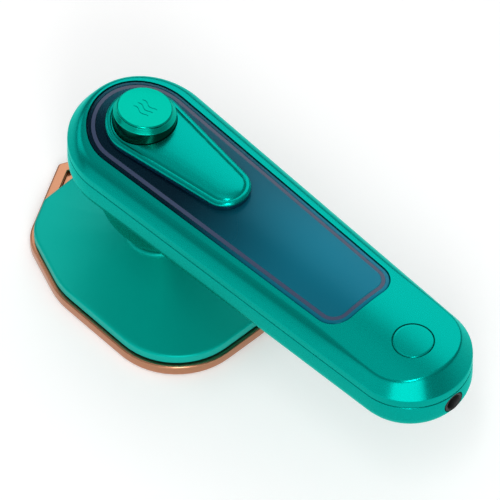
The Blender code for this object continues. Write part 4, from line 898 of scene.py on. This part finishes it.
@dataclass
class Head:
    """The copper soleplate and the cover over it."""

    plan: SolePlan
    thickness: float = 5.0
    edge: float = 1.2
    upper_edge: float = 0.7
    nose_rim: float = 4.3
    nose_depth: float = 2.0
    cover_inset: float = 1.5
    cover_front: float = -44.5
    cover_base: float = 6.0
    cover_rim: float = 5.0
    cover_wall: float = 1.7
    seat: float = 14.0
    collar_radius: float = 13.7
    collar_rise: float = 1.9
    hole_inset: float = 18.0
    hole_radius: float = 1.4
    heater_x: float = 29.5

    def build(self) -> None:
        """Make both pieces."""
        placed(self.soleplate(), Body.HEAD, COPPER, "soleplate")
        placed(self.cover(), Body.HEAD, SATIN_GREEN, "head_cover")

    def soleplate(self) -> bpy.types.Object:
        """Return the plate: rounded rims, a sunk nose, a heater pocket and drilled steam holes."""
        rings = [at_height(self.plan.outline(self.edge * 1.6), 0.0)]
        for i in range(7):
            turn = math.pi / 2 * i / 6
            drawn_in = self.edge * (1 - math.sin(turn))
            rings.append(at_height(self.plan.outline(drawn_in), self.edge * (1 - math.cos(turn))))
        for i in range(5):
            turn = math.pi / 2 * i / 4
            drawn_in = self.upper_edge * (1 - math.cos(turn))
            z = self.thickness - self.upper_edge * (1 - math.sin(turn))
            rings.append(at_height(self.plan.outline(drawn_in), z))
        plate = finished("soleplate_body", skin(rings), 40.0)
        floor = self.thickness - self.nose_depth
        nose = [
            (0.35, floor), (0.1, floor + 0.35), (0.0, self.thickness - 0.3), (-0.3, self.thickness),
            (-0.3, self.thickness + 2),
        ]
        rings = [
            at_height(self.plan.outline(self.nose_rim + d, None, self.cover_front + 3 - d, 0.7), z)
            for d, z in nose
        ]
        middle, half_length, half_width = self.heater_x * MM, 17.3 * MM, 8.3 * MM
        square = arc((self.heater_x, 0), 12.0, math.pi / 4, math.pi * 1.5, 3)
        pocket = finished("heater_pocket", skin([at_height(square, z) for z in (2.0, 7.0)]))
        for vert in pocket.data.vertices:
            vert.co.x = middle + math.copysign(half_length, vert.co.x - middle)
            vert.co.y = math.copysign(half_width, vert.co.y)
        combined(plate, "DIFFERENCE", finished("nose_recess", skin(rings)), pocket)
        drill_profile = [
            (0.0, -1.0), (self.hole_radius + 0.6, -1.0), (self.hole_radius + 0.4, 0.0),
            (self.hole_radius, 0.5), (self.hole_radius, 6.0), (0.0, 6.0),
        ]
        drill = finished("steam_drill", lathe(drill_profile, steps=24))
        drills = NodeWork.run(Repeat.DRILL, "steam_drills", self.hole_places(), COPPER, drill)
        combined(plate, "DIFFERENCE", drills)
        plate.data.materials.clear()
        return plate

    def hole_places(self) -> list[Vector]:
        """Return the steam holes' places, in an arc along the nose."""
        outline = self.plan.outline(self.hole_inset)
        places = []
        for step in range(-5, 6):
            aim = math.radians(180 + 15 * step)
            aim = Vector((math.cos(aim), math.sin(aim)))
            for p, q in zip(outline, outline[1:] + outline[:1]):
                before, after = aim.cross(p), aim.cross(q)
                if before <= 0 < after and aim.dot(p) > 0:
                    places.append(p.lerp(q, before / (before - after)).to_3d())
        return places

    def cover_ring(self, inset: float, z: float, share: float = 0.0, radius: float = 0.0) -> Ring:
        """Make one ring of the cover.

        Args:
            inset: How far the plan is drawn in.
            z: The ring's height.
            share: How far the ring has gone from the plan to a circle about the swivel axis.
            radius: The circle's radius, or 0 for the collar's.

        Returns:
            The ring.
        """
        reference = self.plan.outline(self.cover_inset, self.cover_front)
        outline = self.plan.outline(inset, self.cover_front + inset - self.cover_inset)
        points = []
        for i, point in enumerate(outline):
            j = (i + 1) % len(outline)
            parts = max(1, math.ceil((reference[j] - reference[i]).length / 2.5))
            for k in range(parts):
                way = reference[i].lerp(reference[j], k / parts).normalized()
                on_circle = way * (radius or self.collar_radius)
                points.append(point.lerp(outline[j], k / parts).lerp(on_circle, share))
        return at_height(points, z)

    def cover(self) -> bpy.types.Object:
        """Return the cover: a low rim, a skirt that sweeps up to the collar, and its hollow underside."""
        crease = self.cover_base + self.cover_rim - 0.9
        rise = self.seat + 0.2 - crease
        outer = self.cover_inset
        rings = [
            self.cover_ring(outer + 0.25, self.cover_base),
            self.cover_ring(outer, self.cover_base + 0.3),
            self.cover_ring(outer + 0.05, crease - 0.75),
            self.cover_ring(outer + 0.12, crease - 0.5),
            self.cover_ring(outer + 0.3, crease - 0.25),
            self.cover_ring(outer + 0.6, crease - 0.08),
            self.cover_ring(outer + 1.0, crease - 0.02),
        ]
        shares = [i / 30 for i in range(31)]
        rings += [self.cover_ring(outer + 1.7, crease + rise * s ** 1.8, s) for s in shares]
        top = self.seat + self.collar_rise
        lip = [
            (self.collar_radius, self.seat + 0.9), (13.62, top - 0.75), (13.35, top - 0.3),
            (12.95, top - 0.06), (12.5, top), (12.1, top - 0.1), (11.75, top - 0.5), (11.6, self.seat),
            (6.9, self.seat), (6.9, self.seat - 1.7), (12.7, self.seat - 1.7),
        ]
        rings += [self.cover_ring(outer, z, 1.0, r) for r, z in lip]
        inner = outer + self.cover_wall
        rings += [
            self.cover_ring(inner + 1.0, crease + rise * s ** 1.8 - self.cover_wall - 0.1, s)
            for s in shares[-4:0:-2]
        ]
        rings += [
            self.cover_ring(inner + 1.0, crease - 1.7),
            self.cover_ring(inner, crease - 2.7),
            self.cover_ring(inner, self.cover_base),
        ]
        return finished("head_cover_body", skin(rings, looped=True), 38.0)


@dataclass
class Shells:
    """The handle's two shells, the neck under them and what is let into them."""

    head: Circle = (-9.0, 0.0, 29.0)
    tail: Circle = (137.8, 0.0, 24.2)
    base: float = 46.0
    top: float = 74.0
    split: float = 61.0
    crease: float = 65.0
    slope: float = 4.9 / 8.5
    dome: float = 80.0
    belly: float = 8.0
    wall: float = 2.0
    window_end: float = 114.4
    window_head: float = 21.4
    window_half_width: float = 17.6
    window_corner: float = 9.0
    power_x: float = 139.5
    power_radius: float = 8.1
    power_gap: float = 0.28
    inlet_z: float = 55.6
    cord_radius: float = 4.8
    boss_radius: float = 4.4
    filler_x: float = 55.6
    neck: tuple[tuple[float, float], ...] = (
        (16.4, 12.7), (20.0, 14.8), (24.0, 17.2), (28.5, 19.6), (34.0, 22.0), (40.0, 23.6), (45.0, 24.4)
    )
    screws: tuple[tuple[float, float], ...] = ((44.0, -11.0), (44.0, 11.0), (123.8, -15.5), (123.8, 15.5))

    def build(self) -> None:
        """Make the shells, their screws, the gland, the power button and the filler plug."""
        placed(self.upper(), Body.HANDLE, LUSTRE_GREEN, "upper_shell")
        placed(self.lower(), Body.HANDLE, LUSTRE_GREEN, "lower_shell")
        screws = [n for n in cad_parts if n.startswith("shell_screw")]
        placed(self.screw_set(), Body.HANDLE, ZINC, *screws)
        placed(self.gland(), Body.HANDLE, BLACK_RUBBER, "cord_gland")
        placed(self.power_button(), Body.POWER_BUTTON, LUSTRE_GREEN, "power_button")
        placed(self.filler_plug(), Body.FILLER_PLUG, BLACK_RUBBER, "filler_plug")

    def plan(self, inset: float) -> Ring:
        """Return the handle's plan, moved in by the inset."""
        return band_outline((self.head, self.tail), inset)

    def drop(self, y: float) -> float:
        """Return how far the domed top lies below its ridge at y."""
        return self.dome - math.sqrt(max(0.0, self.dome ** 2 - y * y))

    def height_above(self, point: Vector) -> float:
        """Return how far above the domed top a point of a piece lies, in millimetres."""
        return point.z / MM + self.drop(point.y / MM) - self.top

    def window_plan(self, inset: float) -> Ring:
        """Return the window's plan, moved in by the inset."""
        corner = self.window_corner
        x, y = self.window_end - corner, self.window_half_width - corner
        return band_outline(
            ((self.head[0], 0.0, self.window_head), (x, -y, corner), (x, y, corner)), inset, 24, 30
        )

    def top_ring(self, inset: float, lower_by: float = 0.0) -> Ring:
        """Make one ring of the chamfer and the domed top.

        Args:
            inset: How far the plan is drawn in.
            lower_by: How far below the outer skin it lies.

        Returns:
            The ring; the chamfer's upper edge is crisp at the tail and soft along the sides.
        """
        ring = []
        for p in self.plan(inset):
            soft = 3.4 - 2.7 * smooth_step(104.0, 136.0, p.x)
            z = soft_minimum(self.crease + inset / self.slope, self.top - self.drop(p.y), soft)
            ring.append(Vector((p.x, p.y, z - lower_by)))
        return ring

    def upper(self) -> bpy.types.Object:
        """Return the upper shell with the window's opening and the power button's hole."""
        rings = [
            at_height(self.plan(0.25), self.split + 0.15),
            at_height(self.plan(0.03), self.split + 0.4),
        ]
        rings += [
            at_height(self.plan(0.0), z) for z in (self.split + 0.7, self.crease - 1.2, self.crease - 0.5)
        ]
        insets = [
            0.05, 0.15, 0.4, 0.8, 1.2, 1.6, 2.0, 2.4, 2.8, 3.2, 3.6, 4.0, 4.3, 4.6, 4.9, 5.2, 5.6, 6.1,
            6.8, 7.6, 8.8,
        ]
        rings += [self.top_ring(d) for d in insets]
        outer = finished(
            "upper_shell_body", bend_cap(skin(rings), lambda y: self.top - self.drop(y), 1.5), 28.0
        )
        inside = [at_height(self.plan(self.wall), z) for z in (self.split - 1.0, self.crease)]
        inside += [self.top_ring(d, self.wall) for d in (2.6, 4.0, 5.5, 7.0, 9.0)]
        opening = skin([at_height(self.window_plan(-0.3), z) for z in (self.split, self.top + 4)])
        hole = rod(self.power_radius + self.power_gap, self.split, self.top + 4, (self.power_x, 0.0))
        hollow = bend_cap(skin(inside), lambda y: self.top - self.wall - self.drop(y), 3.0)
        return combined(
            outer,
            "DIFFERENCE",
            finished("upper_inside", hollow),
            finished("window_opening", opening),
            finished("power_hole", hole),
        )

    def lower(self) -> bpy.types.Object:
        """Return the lower shell with the neck, the screw recesses, the filler hole and the cord's hole."""
        def belly_rings(inset: float, top: float) -> list[Ring]:
            """Return the belly's rings, from its flat base to the given top."""
            radius = self.belly - inset
            turns = [math.pi / 2 * i / 10 for i in range(11)]
            spots = [
                (inset + radius * (1 - math.sin(t)), self.base + self.belly - radius * math.cos(t))
                for t in turns
            ]
            return [at_height(self.plan(d), z) for d, z in (*spots, (inset, top))]

        rings = belly_rings(0.0, self.split - 0.7)
        rings += [
            at_height(self.plan(0.03), self.split - 0.4),
            at_height(self.plan(0.25), self.split - 0.15),
        ]
        shell = finished("lower_shell_body", skin(rings), 30.0)
        skirt = smooth_path(self.neck, 5)
        sleeve = [(0.0, self.base + 3.5), (skirt[-1][1], self.base + 3.5)]
        sleeve += [(r, z) for z, r in skirt[::-1]]
        sleeve += [(12.2, 15.9), (11.2, 15.4), (11.2, 14.4), (0.0, 14.4)]
        bore = [(0.0, self.base + 3.0), (skirt[-1][1] - self.wall, self.base + 3.0)]
        bore += [(r - self.wall, z) for z, r in skirt[::-1][:-2]]
        bore += [(10.0, 16.9), (6.85, 16.9), (6.85, 12.0), (0.0, 12.0)]
        combined(shell, "UNION", finished("neck_sleeve", lathe(sleeve)))
        combined(
            shell,
            "DIFFERENCE",
            finished("shell_inside", skin(belly_rings(self.wall, self.split + 2))),
            finished("neck_bore", lathe(bore)),
        )
        boss = finished("screw_boss", rod(self.boss_radius, 46.4, 53.8, steps=24))
        bosses = NodeWork.run(Repeat.PLACE, "screw_bosses", self.screw_places(), LUSTRE_GREEN, boss)
        recess_profile = [
            (0.0, 40.0), (3.2, 40.0), (3.2, 46.0), (2.9, 46.3), (2.9, 48.9), (1.5, 48.9), (1.5, 60.0),
            (0.0, 60.0),
        ]
        recess = finished("screw_recess", lathe(recess_profile, steps=32))
        recesses = NodeWork.run(Repeat.DRILL, "screw_recesses", self.screw_places(), LUSTRE_GREEN, recess)
        filler_profile = [(0.0, 40.0), (8.0, 40.0), (8.0, 46.0), (7.7, 46.3), (7.7, 50.0), (0.0, 50.0)]
        filler = finished("filler_hole", lathe(filler_profile, (self.filler_x, 0.0), 64))
        cord = laid(rod(self.cord_radius, 150.0, 170.0, steps=48), self.inlet_z)
        combined(shell, "UNION", bosses)
        combined(shell, "DIFFERENCE", recesses, filler, finished("cord_hole", cord))
        shell.data.materials.clear()
        return shell

    def screw_places(self) -> list[tuple[float, float, float]]:
        """Return the shell screws' places, the two at the pump first."""
        return [(x, y, 0.0) for x, y in self.screws]

    def screw_set(self) -> bpy.types.Object:
        """Return the four shell screws: cross-recessed heads on threaded shanks."""
        profile = [(0.0, 46.8), (2.1, 46.8), (2.6, 47.3), (2.6, 48.6), (1.2, 48.6)]
        for i in range(12):
            z = 49.0 + i * 0.8
            profile += [(1.0, z), (1.2, z + 0.25), (1.0, z + 0.5)]
        screw = finished("screw_blank", lathe(profile + [(0.6, 58.9), (0.0, 59.2)], steps=20), 30.0)
        for turn in (0.0, math.pi / 2):
            blade = bmesh.new()
            bmesh.ops.create_cube(blade, size=1.0)
            bmesh.ops.scale(blade, verts=blade.verts, vec=(3.0, 0.55, 2.0))
            bmesh.ops.rotate(blade, verts=blade.verts, cent=(0, 0, 0), matrix=Matrix.Rotation(turn, 3, "Z"))
            bmesh.ops.translate(blade, verts=blade.verts, vec=(0, 0, 46.9))
            combined(screw, "DIFFERENCE", finished("driver_blade", blade))
        return NodeWork.run(Repeat.PLACE, "shell_screws", self.screw_places(), ZINC, screw)

    def gland(self) -> bpy.types.Object:
        """Return the cord's rubber gland, a rolled lip round a bore."""
        reach = self.tail[0] + self.tail[2]
        profile = [
            (3.1, reach - 5.4), (5.2, reach - 5.4), (5.2, reach - 4.3), (4.5, reach - 4.2),
            (4.5, reach - 0.7), (4.3, reach - 0.3), (3.9, reach - 0.2), (3.4, reach - 0.4),
            (3.15, reach - 0.9), (3.1, reach - 2.0),
        ]
        return finished("cord_gland_body", laid(lathe(profile, steps=48), self.inlet_z), 45.0)

    def power_button(self) -> bpy.types.Object:
        """Return the flush power button on its stem, domed with the shell."""
        r = self.power_radius
        top = self.top - 0.02
        profile = [
            (0.0, 63.9), (2.0, 63.9), (2.0, 71.0), (r + 1.1, 71.0), (r + 1.1, 71.9), (r - 0.05, 72.0),
            (r - 0.05, top - 0.3), (r - 0.15, top - 0.1), (r - 0.35, top),
        ] + [((r - 0.35) * (1 - i / 10), top) for i in range(1, 11)]
        bm = lathe(profile, (self.power_x, 0.0), 64)
        for vert in bm.verts:
            vert.co.z -= self.drop(vert.co.y) * smooth_step(70.0, 71.0, vert.co.z)
        return finished("power_button_cap", bm, 40.0)

    def filler_plug(self) -> bpy.types.Object:
        """Return the filler's rubber plug: a flange with a finger dish and a stem with two sealing beads."""
        profile = [
            (0.0, 55.0), (3.6, 55.0), (4.3, 54.4), (4.65, 53.6), (4.3, 52.9), (4.3, 52.1), (4.65, 51.5),
            (4.3, 50.8), (4.3, 48.0), (7.1, 48.0), (7.4, 47.7), (7.4, 46.6), (7.0, 46.2), (6.0, 46.25),
            (4.5, 46.7), (0.0, 46.9),
        ]
        return finished("filler_plug_body", lathe(profile, (self.filler_x, 0.0), 64), 40.0)


@dataclass
class Tank:
    """The smoked window, the basin under it and the weld beads between them."""

    shells: Shells
    thickness: float = 2.0
    floor: float = 56.0
    floor_thickness: float = 1.5
    groove: float = 0.42
    bead_radius: float = 0.35
    button_hole: float = 12.8
    well_radius: float = 15.0
    well_bore: float = 13.5
    outlet_radius: float = 2.8
    filler_radius: float = 5.0
    boss_radius: float = 3.0
    pilot_radius: float = 1.5

    def build(self) -> None:
        """Make the window, the basin and the beads."""
        placed(self.window(), Body.HANDLE, SHADED_SMOKE, "tank_window")
        placed(self.basin(), Body.HANDLE, TANK_NAVY, "tank_tray")
        for name, inset, depth in (("outer_weld_bead", 2.6, 2.6), ("inner_weld_bead", 4.4, 3.0)):
            path = [
                (p.x, p.y, self.shells.top - self.shells.drop(p.y) - depth)
                for p in self.shells.window_plan(inset)
            ]
            bead = NodeWork.run(Repeat.SWEEP, name, path, WELD_GREY, radius_mm=self.bead_radius)
            placed(bead, Body.HANDLE, WELD_GREY)

    def plate(self, insets: Sequence[tuple[float, float]]) -> bmesh.types.BMesh:
        """Make a plate on the window's plan that follows the dome.

        Args:
            insets: How far each ring is drawn in and its height over the ridge, from the underside up.

        Returns:
            The mesh, cut across in strips so that it bends with the dome.
        """
        bm = skin([at_height(self.shells.window_plan(d), self.shells.top + z) for d, z in insets])
        sliced(bm, Y_AXIS, [i * 1.05 for i in range(-20, 21)])
        for vert in bm.verts:
            vert.co.z -= self.shells.drop(vert.co.y)
        return bm

    def window(self) -> bpy.types.Object:
        """Return the window: a domed plate with eased edges, a weld groove and a hole for the button."""
        low = -self.thickness
        edge = [
            (0.3, low), (0.0, low + 0.3), (0.0, -0.75), (0.08, -0.5), (0.28, -0.3), (0.55, -0.22),
            (1.5, -0.2), (1.7, -self.groove), (3.2, -self.groove), (3.4, -0.2),
        ]
        plate = finished("tank_window_body", self.plate(edge), 40.0)
        hole = rod(self.button_hole, 60.0, 80.0, (PUMP_X, 0.0))
        combined(plate, "DIFFERENCE", finished("button_hole", hole))

        def in_groove(face: bpy.types.MeshPolygon) -> bool:
            """Tell whether a face is the groove's floor."""
            return abs(self.shells.height_above(face.center) + self.groove) < 0.04 and face.normal.z > 0.8

        return two_toned(plate, SHADED_SMOKE, WELD_GREY, in_groove)

    def levelled(self, piece: bpy.types.Object, z: float) -> bpy.types.Object:
        """Make a bent plate's deep end flat.

        Args:
            piece: The plate.
            z: The height that its low points go to.

        Returns:
            The same piece.
        """
        for vert in piece.data.vertices:
            if vert.co.z < 60 * MM:
                vert.co.z = z * MM
        return piece

    def basin(self) -> bpy.types.Object:
        """Return the basin, with the pump's dry well, a filler hole and two bosses."""
        depth = self.floor - self.shells.top
        outside = self.plate([(1.2, depth), (1.2, -3.7), (-1.0, -3.6), (-1.0, -2.4)])
        inside = self.plate([(2.7, depth + self.floor_thickness), (2.7, -3.4), (2.4, -2.9), (2.4, 2.0)])
        basin = self.levelled(finished("tank_basin", outside, 35.0), self.floor)
        hollow = self.levelled(finished("tank_hollow", inside, 35.0), self.floor + self.floor_thickness)
        combined(basin, "DIFFERENCE", hollow)
        pump = (PUMP_X, 0.0)
        places = self.shells.screw_places()[:2]
        well = finished("pump_well", rod(self.well_radius, 56.5, 70.2, pump, 72))
        boss = finished("tank_boss", rod(self.boss_radius, 54.2, 61.4, steps=24))
        combined(basin, "UNION", well, NodeWork.run(Repeat.PLACE, "tank_bosses", places, TANK_NAVY, boss))
        bore = finished("well_bore", rod(self.well_bore, 57.5, 80.0, pump, 72))
        outlet = finished("well_outlet", rod(self.outlet_radius, 50.0, 60.0, pump, 24))
        filler_place = (self.shells.filler_x, 0.0)
        filler = finished("filler_bore", rod(self.filler_radius, 50.0, 60.0, filler_place, 48))
        pilot = finished("boss_pilot", rod(self.pilot_radius, 50.0, 60.0, steps=16))
        pilots = NodeWork.run(Repeat.DRILL, "boss_pilots", places, TANK_NAVY, pilot)
        combined(basin, "DIFFERENCE", bore, outlet, filler, pilots)
        basin.data.materials.clear()
        return basin


@dataclass
class Panel:
    """The raised teardrop panel and the steam button that stands in it."""

    shells: Shells
    head: Circle = (PUMP_X, 0.0, 15.5)
    tail: Circle = (37.0, 0.0, 10.0)
    foot_height: float = 1.9
    button_radius: float = 12.4
    button_gap: float = 0.35
    button_base: float = 75.5
    dish: float = 83.2
    lean: float = 0.14
    lift: float = 1.5

    def build(self) -> None:
        """Make the panel, the button and its mark."""
        placed(self.panel(), Body.HANDLE, LUSTRE_GREEN, "button_panel")
        placed(self.button(), Body.STEAM_BUTTON, POLISHED_GREEN, "steam_button")
        placed(self.steam_mark(), Body.STEAM_BUTTON, LUSTRE_GREEN)

    def panel(self) -> bpy.types.Object:
        """Return the panel: a smoked foot, a rolled rim, a thin groove and a pillow inside it."""
        profile = [
            (1.6, 0.3), (0.1, 0.3), (0.0, 0.5), (0.0, 1.5), (0.0, 2.2), (0.06, 2.7), (0.25, 3.15),
            (0.6, 3.5), (1.0, 3.66), (1.5, 3.7), (1.95, 3.62), (2.15, 3.35), (2.3, 3.28), (2.45, 3.35),
            (2.7, 3.6), (3.2, 3.78), (4.0, 3.93), (5.0, 4.02), (6.5, 4.07), (8.0, 4.09), (9.0, 4.1),
        ]
        outline = [band_outline((self.head, self.tail), d, 40, 24) for d, _ in profile]
        rings = [at_height(o, self.shells.top + z) for o, (_, z) in zip(outline, profile)]
        bm = skin(rings)
        sliced(bm, Y_AXIS, [i * 1.1 + 0.05 for i in range(-14, 15)])
        sliced(bm, X_AXIS, [i * 2.4 + 0.07 for i in range(-9, 20)])
        for vert in bm.verts:
            vert.co.z -= self.shells.drop(vert.co.y)
        panel = finished("button_panel_body", bm, 50.0)
        hole = rod(self.button_radius + self.button_gap, 60.0, 90.0, self.head[:2])
        combined(panel, "DIFFERENCE", finished("button_hole", hole))

        def on_shaded_foot(face: bpy.types.MeshPolygon) -> bool:
            """Tell whether a face is part of the foot's wall."""
            return self.shells.height_above(face.center) < self.foot_height and abs(face.normal.z) < 0.6

        # The foot's wall takes the dark navy: painted shade and painted reflection under the panel's rim.
        return two_toned(panel, LUSTRE_GREEN, SHADED_SMOKED_FOOT, on_shaded_foot)

    def button(self) -> bpy.types.Object:
        """Return the button: an upright wall, a bevel, and a dished top that leans to the far side."""
        upright = [
            (0.0, 81.6), (10.8, 81.6), (10.8, self.button_base), (self.button_radius, self.button_base),
        ]
        leaning = [
            (self.button_radius, 80.3), (12.34, 80.7), (12.15, 81.05), (11.1, 82.5), (10.95, 82.75),
            (10.85, 83.2), (10.6, 83.5), (10.2, 83.62), (9.7, 83.55), (8.5, 83.4), (6.5, 83.28),
            (4.0, 83.2), (0.0, 83.16),
        ]
        rings = [
            at_height(arc(self.head[:2], r, 0.0, math.tau * 95 / 96, 95), z) for r, z in upright + leaning
        ]
        for point in sum(rings[len(upright):], []):
            point.z += self.lift - self.lean * point.y
        cap = finished("steam_button_cap", skin(rings, capped=False), 40.0)
        # Upright faces take the darker green: painted shade on the button's side wall.
        return two_toned(cap, POLISHED_GREEN, SHADED_WALL_GREEN, lambda face: abs(face.normal.z) < 0.3)

    def steam_mark(self) -> bpy.types.Object:
        """Return the mark on the button: three thin wavy lines, a generic sign for steam."""
        spacing, length, swing, waves, chords = 2.4, 7.5, 0.55, 1.25, 16
        lines = []
        for offset in (-spacing, 0.0, spacing):
            points = []
            for i in range(chords + 1):
                x = (i / chords - 0.5) * length
                y = offset + swing * math.sin(math.tau * i / chords * waves)
                points.append((self.head[0] + x, y, self.dish + self.lift - self.lean * y))
            name = f"steam_line_{len(lines)}"
            lines.append(NodeWork.run(Repeat.SWEEP, name, points, LUSTRE_GREEN, radius_mm=0.16, closed=False))
        bm = bmesh.new()
        for line in lines:
            bm.from_mesh(line.data)
            bpy.data.objects.remove(line, do_unlink=True)
        bmesh.ops.scale(bm, verts=bm.verts, vec=(1 / MM, 1 / MM, 1 / MM))
        return finished("steam_mark", bm, 60.0)


@dataclass
class Screws:
    """The small cap screws of the heat shield and the heater's clamp."""

    def build(self) -> None:
        """Make one set of screws for each height that they seat at."""
        names = [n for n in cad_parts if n.startswith(("sole_screw", "clamp_screw"))]
        for seat in sorted({round(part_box(n)[1].z / MM, 2) for n in names}):
            chosen = [n for n in names if round(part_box(n)[1].z / MM, 2) == seat]
            profile = [
                (0.0, seat - 0.5), (0.8, seat - 0.5), (0.8, seat), (1.4, seat), (1.7, seat - 0.3),
                (1.7, seat - 1.0), (0.9, seat - 1.0), (0.9, 2.6), (0.6, 2.3), (0.0, 2.3),
            ]
            places = [tuple((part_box(n)[0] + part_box(n)[1]) / 2 / MM)[:2] + (0.0,) for n in chosen]
            blank = finished("small_screw", lathe(profile, steps=18), 30.0)
            screws = NodeWork.run(Repeat.PLACE, f"small_screws_{len(chosen)}", places, ZINC, blank)
            placed(screws, Body.HEAD, ZINC, *chosen)


@dataclass
class Studio:
    """The pale floor, the soft lights and the camera."""

    target: tuple[float, float, float] = (48.2, 2.2, 44.1)
    back: tuple[float, float, float] = (0.432, -0.427, 0.794)
    distance: float = 8000.0
    view_width: float = 193.3
    sensor: float = 36.0
    floor_size: float = 4000.0
    floor_gap: float = 0.2

    def build(self) -> None:
        """Set up the camera, the world, the floor and the lights."""
        target = Vector(self.target) * MM
        back = Vector(self.back).normalized()
        lens = bpy.data.cameras.new("camera")
        lens.sensor_width = self.sensor
        lens.lens = self.sensor * self.distance / self.view_width
        lens.clip_end = 20.0
        camera = bpy.data.objects.new("camera", lens)
        bpy.context.scene.collection.objects.link(camera)
        camera.location = target + back * self.distance * MM
        camera.rotation_mode = "QUATERNION"
        camera.rotation_quaternion = (-back).to_track_quat("-Z", "Y")
        bpy.context.scene.camera = camera
        bpy.context.scene.view_settings.view_transform = "Standard"
        self.world()
        self.floor()
        self.lamp("overhead_softbox", (-0.46, 0.66, 0.6), 0.9, (0.85, 0.72), 1.2)
        self.lamp("zenith_panel", (-0.2, 0.0, 1.0), 0.9, (0.4, 0.4), 0.55)
        self.lamp("skirt_strip", (0.33, -0.33, 0.88), 0.9, (0.1, 0.5), 9.0)
        self.lamp("front_key", (0.58, -0.52, 0.63), 1.0, (0.25, 0.25), 11.0)
        self.lamp("near_side_fill", (-0.1, -1.0, 0.12), 1.0, (1.2, 0.5), 0.55)
        self.lamp("front_strip", (0.70, -0.70, 0.15), 0.9, (0.8, 0.28), 2.4)
        self.lamp("head_side_fill", (-0.9, -0.35, 0.45), 1.1, (0.6, 0.6), 0.9)

    def world(self) -> None:
        """Fill the surroundings with a grey that brightens upwards."""
        world = bpy.data.worlds.new("studio")
        bpy.context.scene.world = world
        world.use_nodes = True
        tree = world.node_tree
        way = add_node(tree, "ShaderNodeTexCoord").outputs["Generated"]
        height = add_node(tree, "ShaderNodeSeparateXYZ", {}, {"Vector": way}).outputs["Z"]
        spread = add_node(
            tree,
            "ShaderNodeMapRange",
            {},
            {"Value": height, "From Min": -0.1, "From Max": 1.0, "To Min": 0.24, "To Max": 0.5},
        )
        tree.links.new(spread.outputs["Result"], tree.nodes["Background"].inputs["Strength"])
        tree.nodes["Background"].inputs["Color"].default_value = (1.0, 1.0, 1.0, 1.0)

    def floor(self) -> None:
        """Lay a plain white floor under the object."""
        bm = bmesh.new()
        bmesh.ops.create_grid(bm, x_segments=1, y_segments=1, size=self.floor_size)
        bmesh.ops.translate(bm, verts=bm.verts, vec=(0.0, 0.0, -self.floor_gap))
        floor = finished("floor", bm)
        paper = Finish("lit_paper_floor", "", "F4F4F4", 0.9, 0.0, 4.0, 0.0, 0.0, 0.0,
                       (("Emission Color", (1.0, 1.0, 1.0, 1.0)), ("Emission Strength", 0.22)))
        floor.data.materials.append(paper.material())

    def lamp(
        self, name: str, way: Sequence[float], distance: float, size: tuple[float, float], glow: float
    ) -> None:
        """Hang a soft rectangular light.

        Args:
            name: The light's name.
            way: The direction from the object to the light.
            distance: How far it hangs, in metres.
            size: Its width and height, in metres.
            glow: How bright its face is; white paper in full light is 1.
        """
        data = bpy.data.lights.new(name, "AREA")
        data.shape = "RECTANGLE"
        data.size, data.size_y = size
        data.energy = glow * math.pi * size[0] * size[1]
        lamp = bpy.data.objects.new(name, data)
        bpy.context.scene.collection.objects.link(lamp)
        lamp.location = Vector(self.target) * MM + Vector(way).normalized() * distance
        lamp.rotation_mode = "QUATERNION"
        lamp.rotation_quaternion = (-Vector(way)).to_track_quat("-Z", "Y")


def dress_carried_over() -> None:
    """Give each CAD node that stays in view its finish."""
    for finish, names in CARRIED_OVER.items():
        for name in names:
            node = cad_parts[name]
            node.data.materials.clear()
            node.data.materials.append(finish.material())
            LOG.info("%s keeps its CAD shape", name)


def main() -> None:
    """Build the studio and every piece, in order."""
    logging.basicConfig(level=logging.INFO, format="%(message)s")
    Studio().build()
    shells = Shells()
    for assembly in (Head(SolePlan()), shells, Tank(shells), Panel(shells), Screws()):
        assembly.build()
    dress_carried_over()


if __name__ == "__main__":
    main()
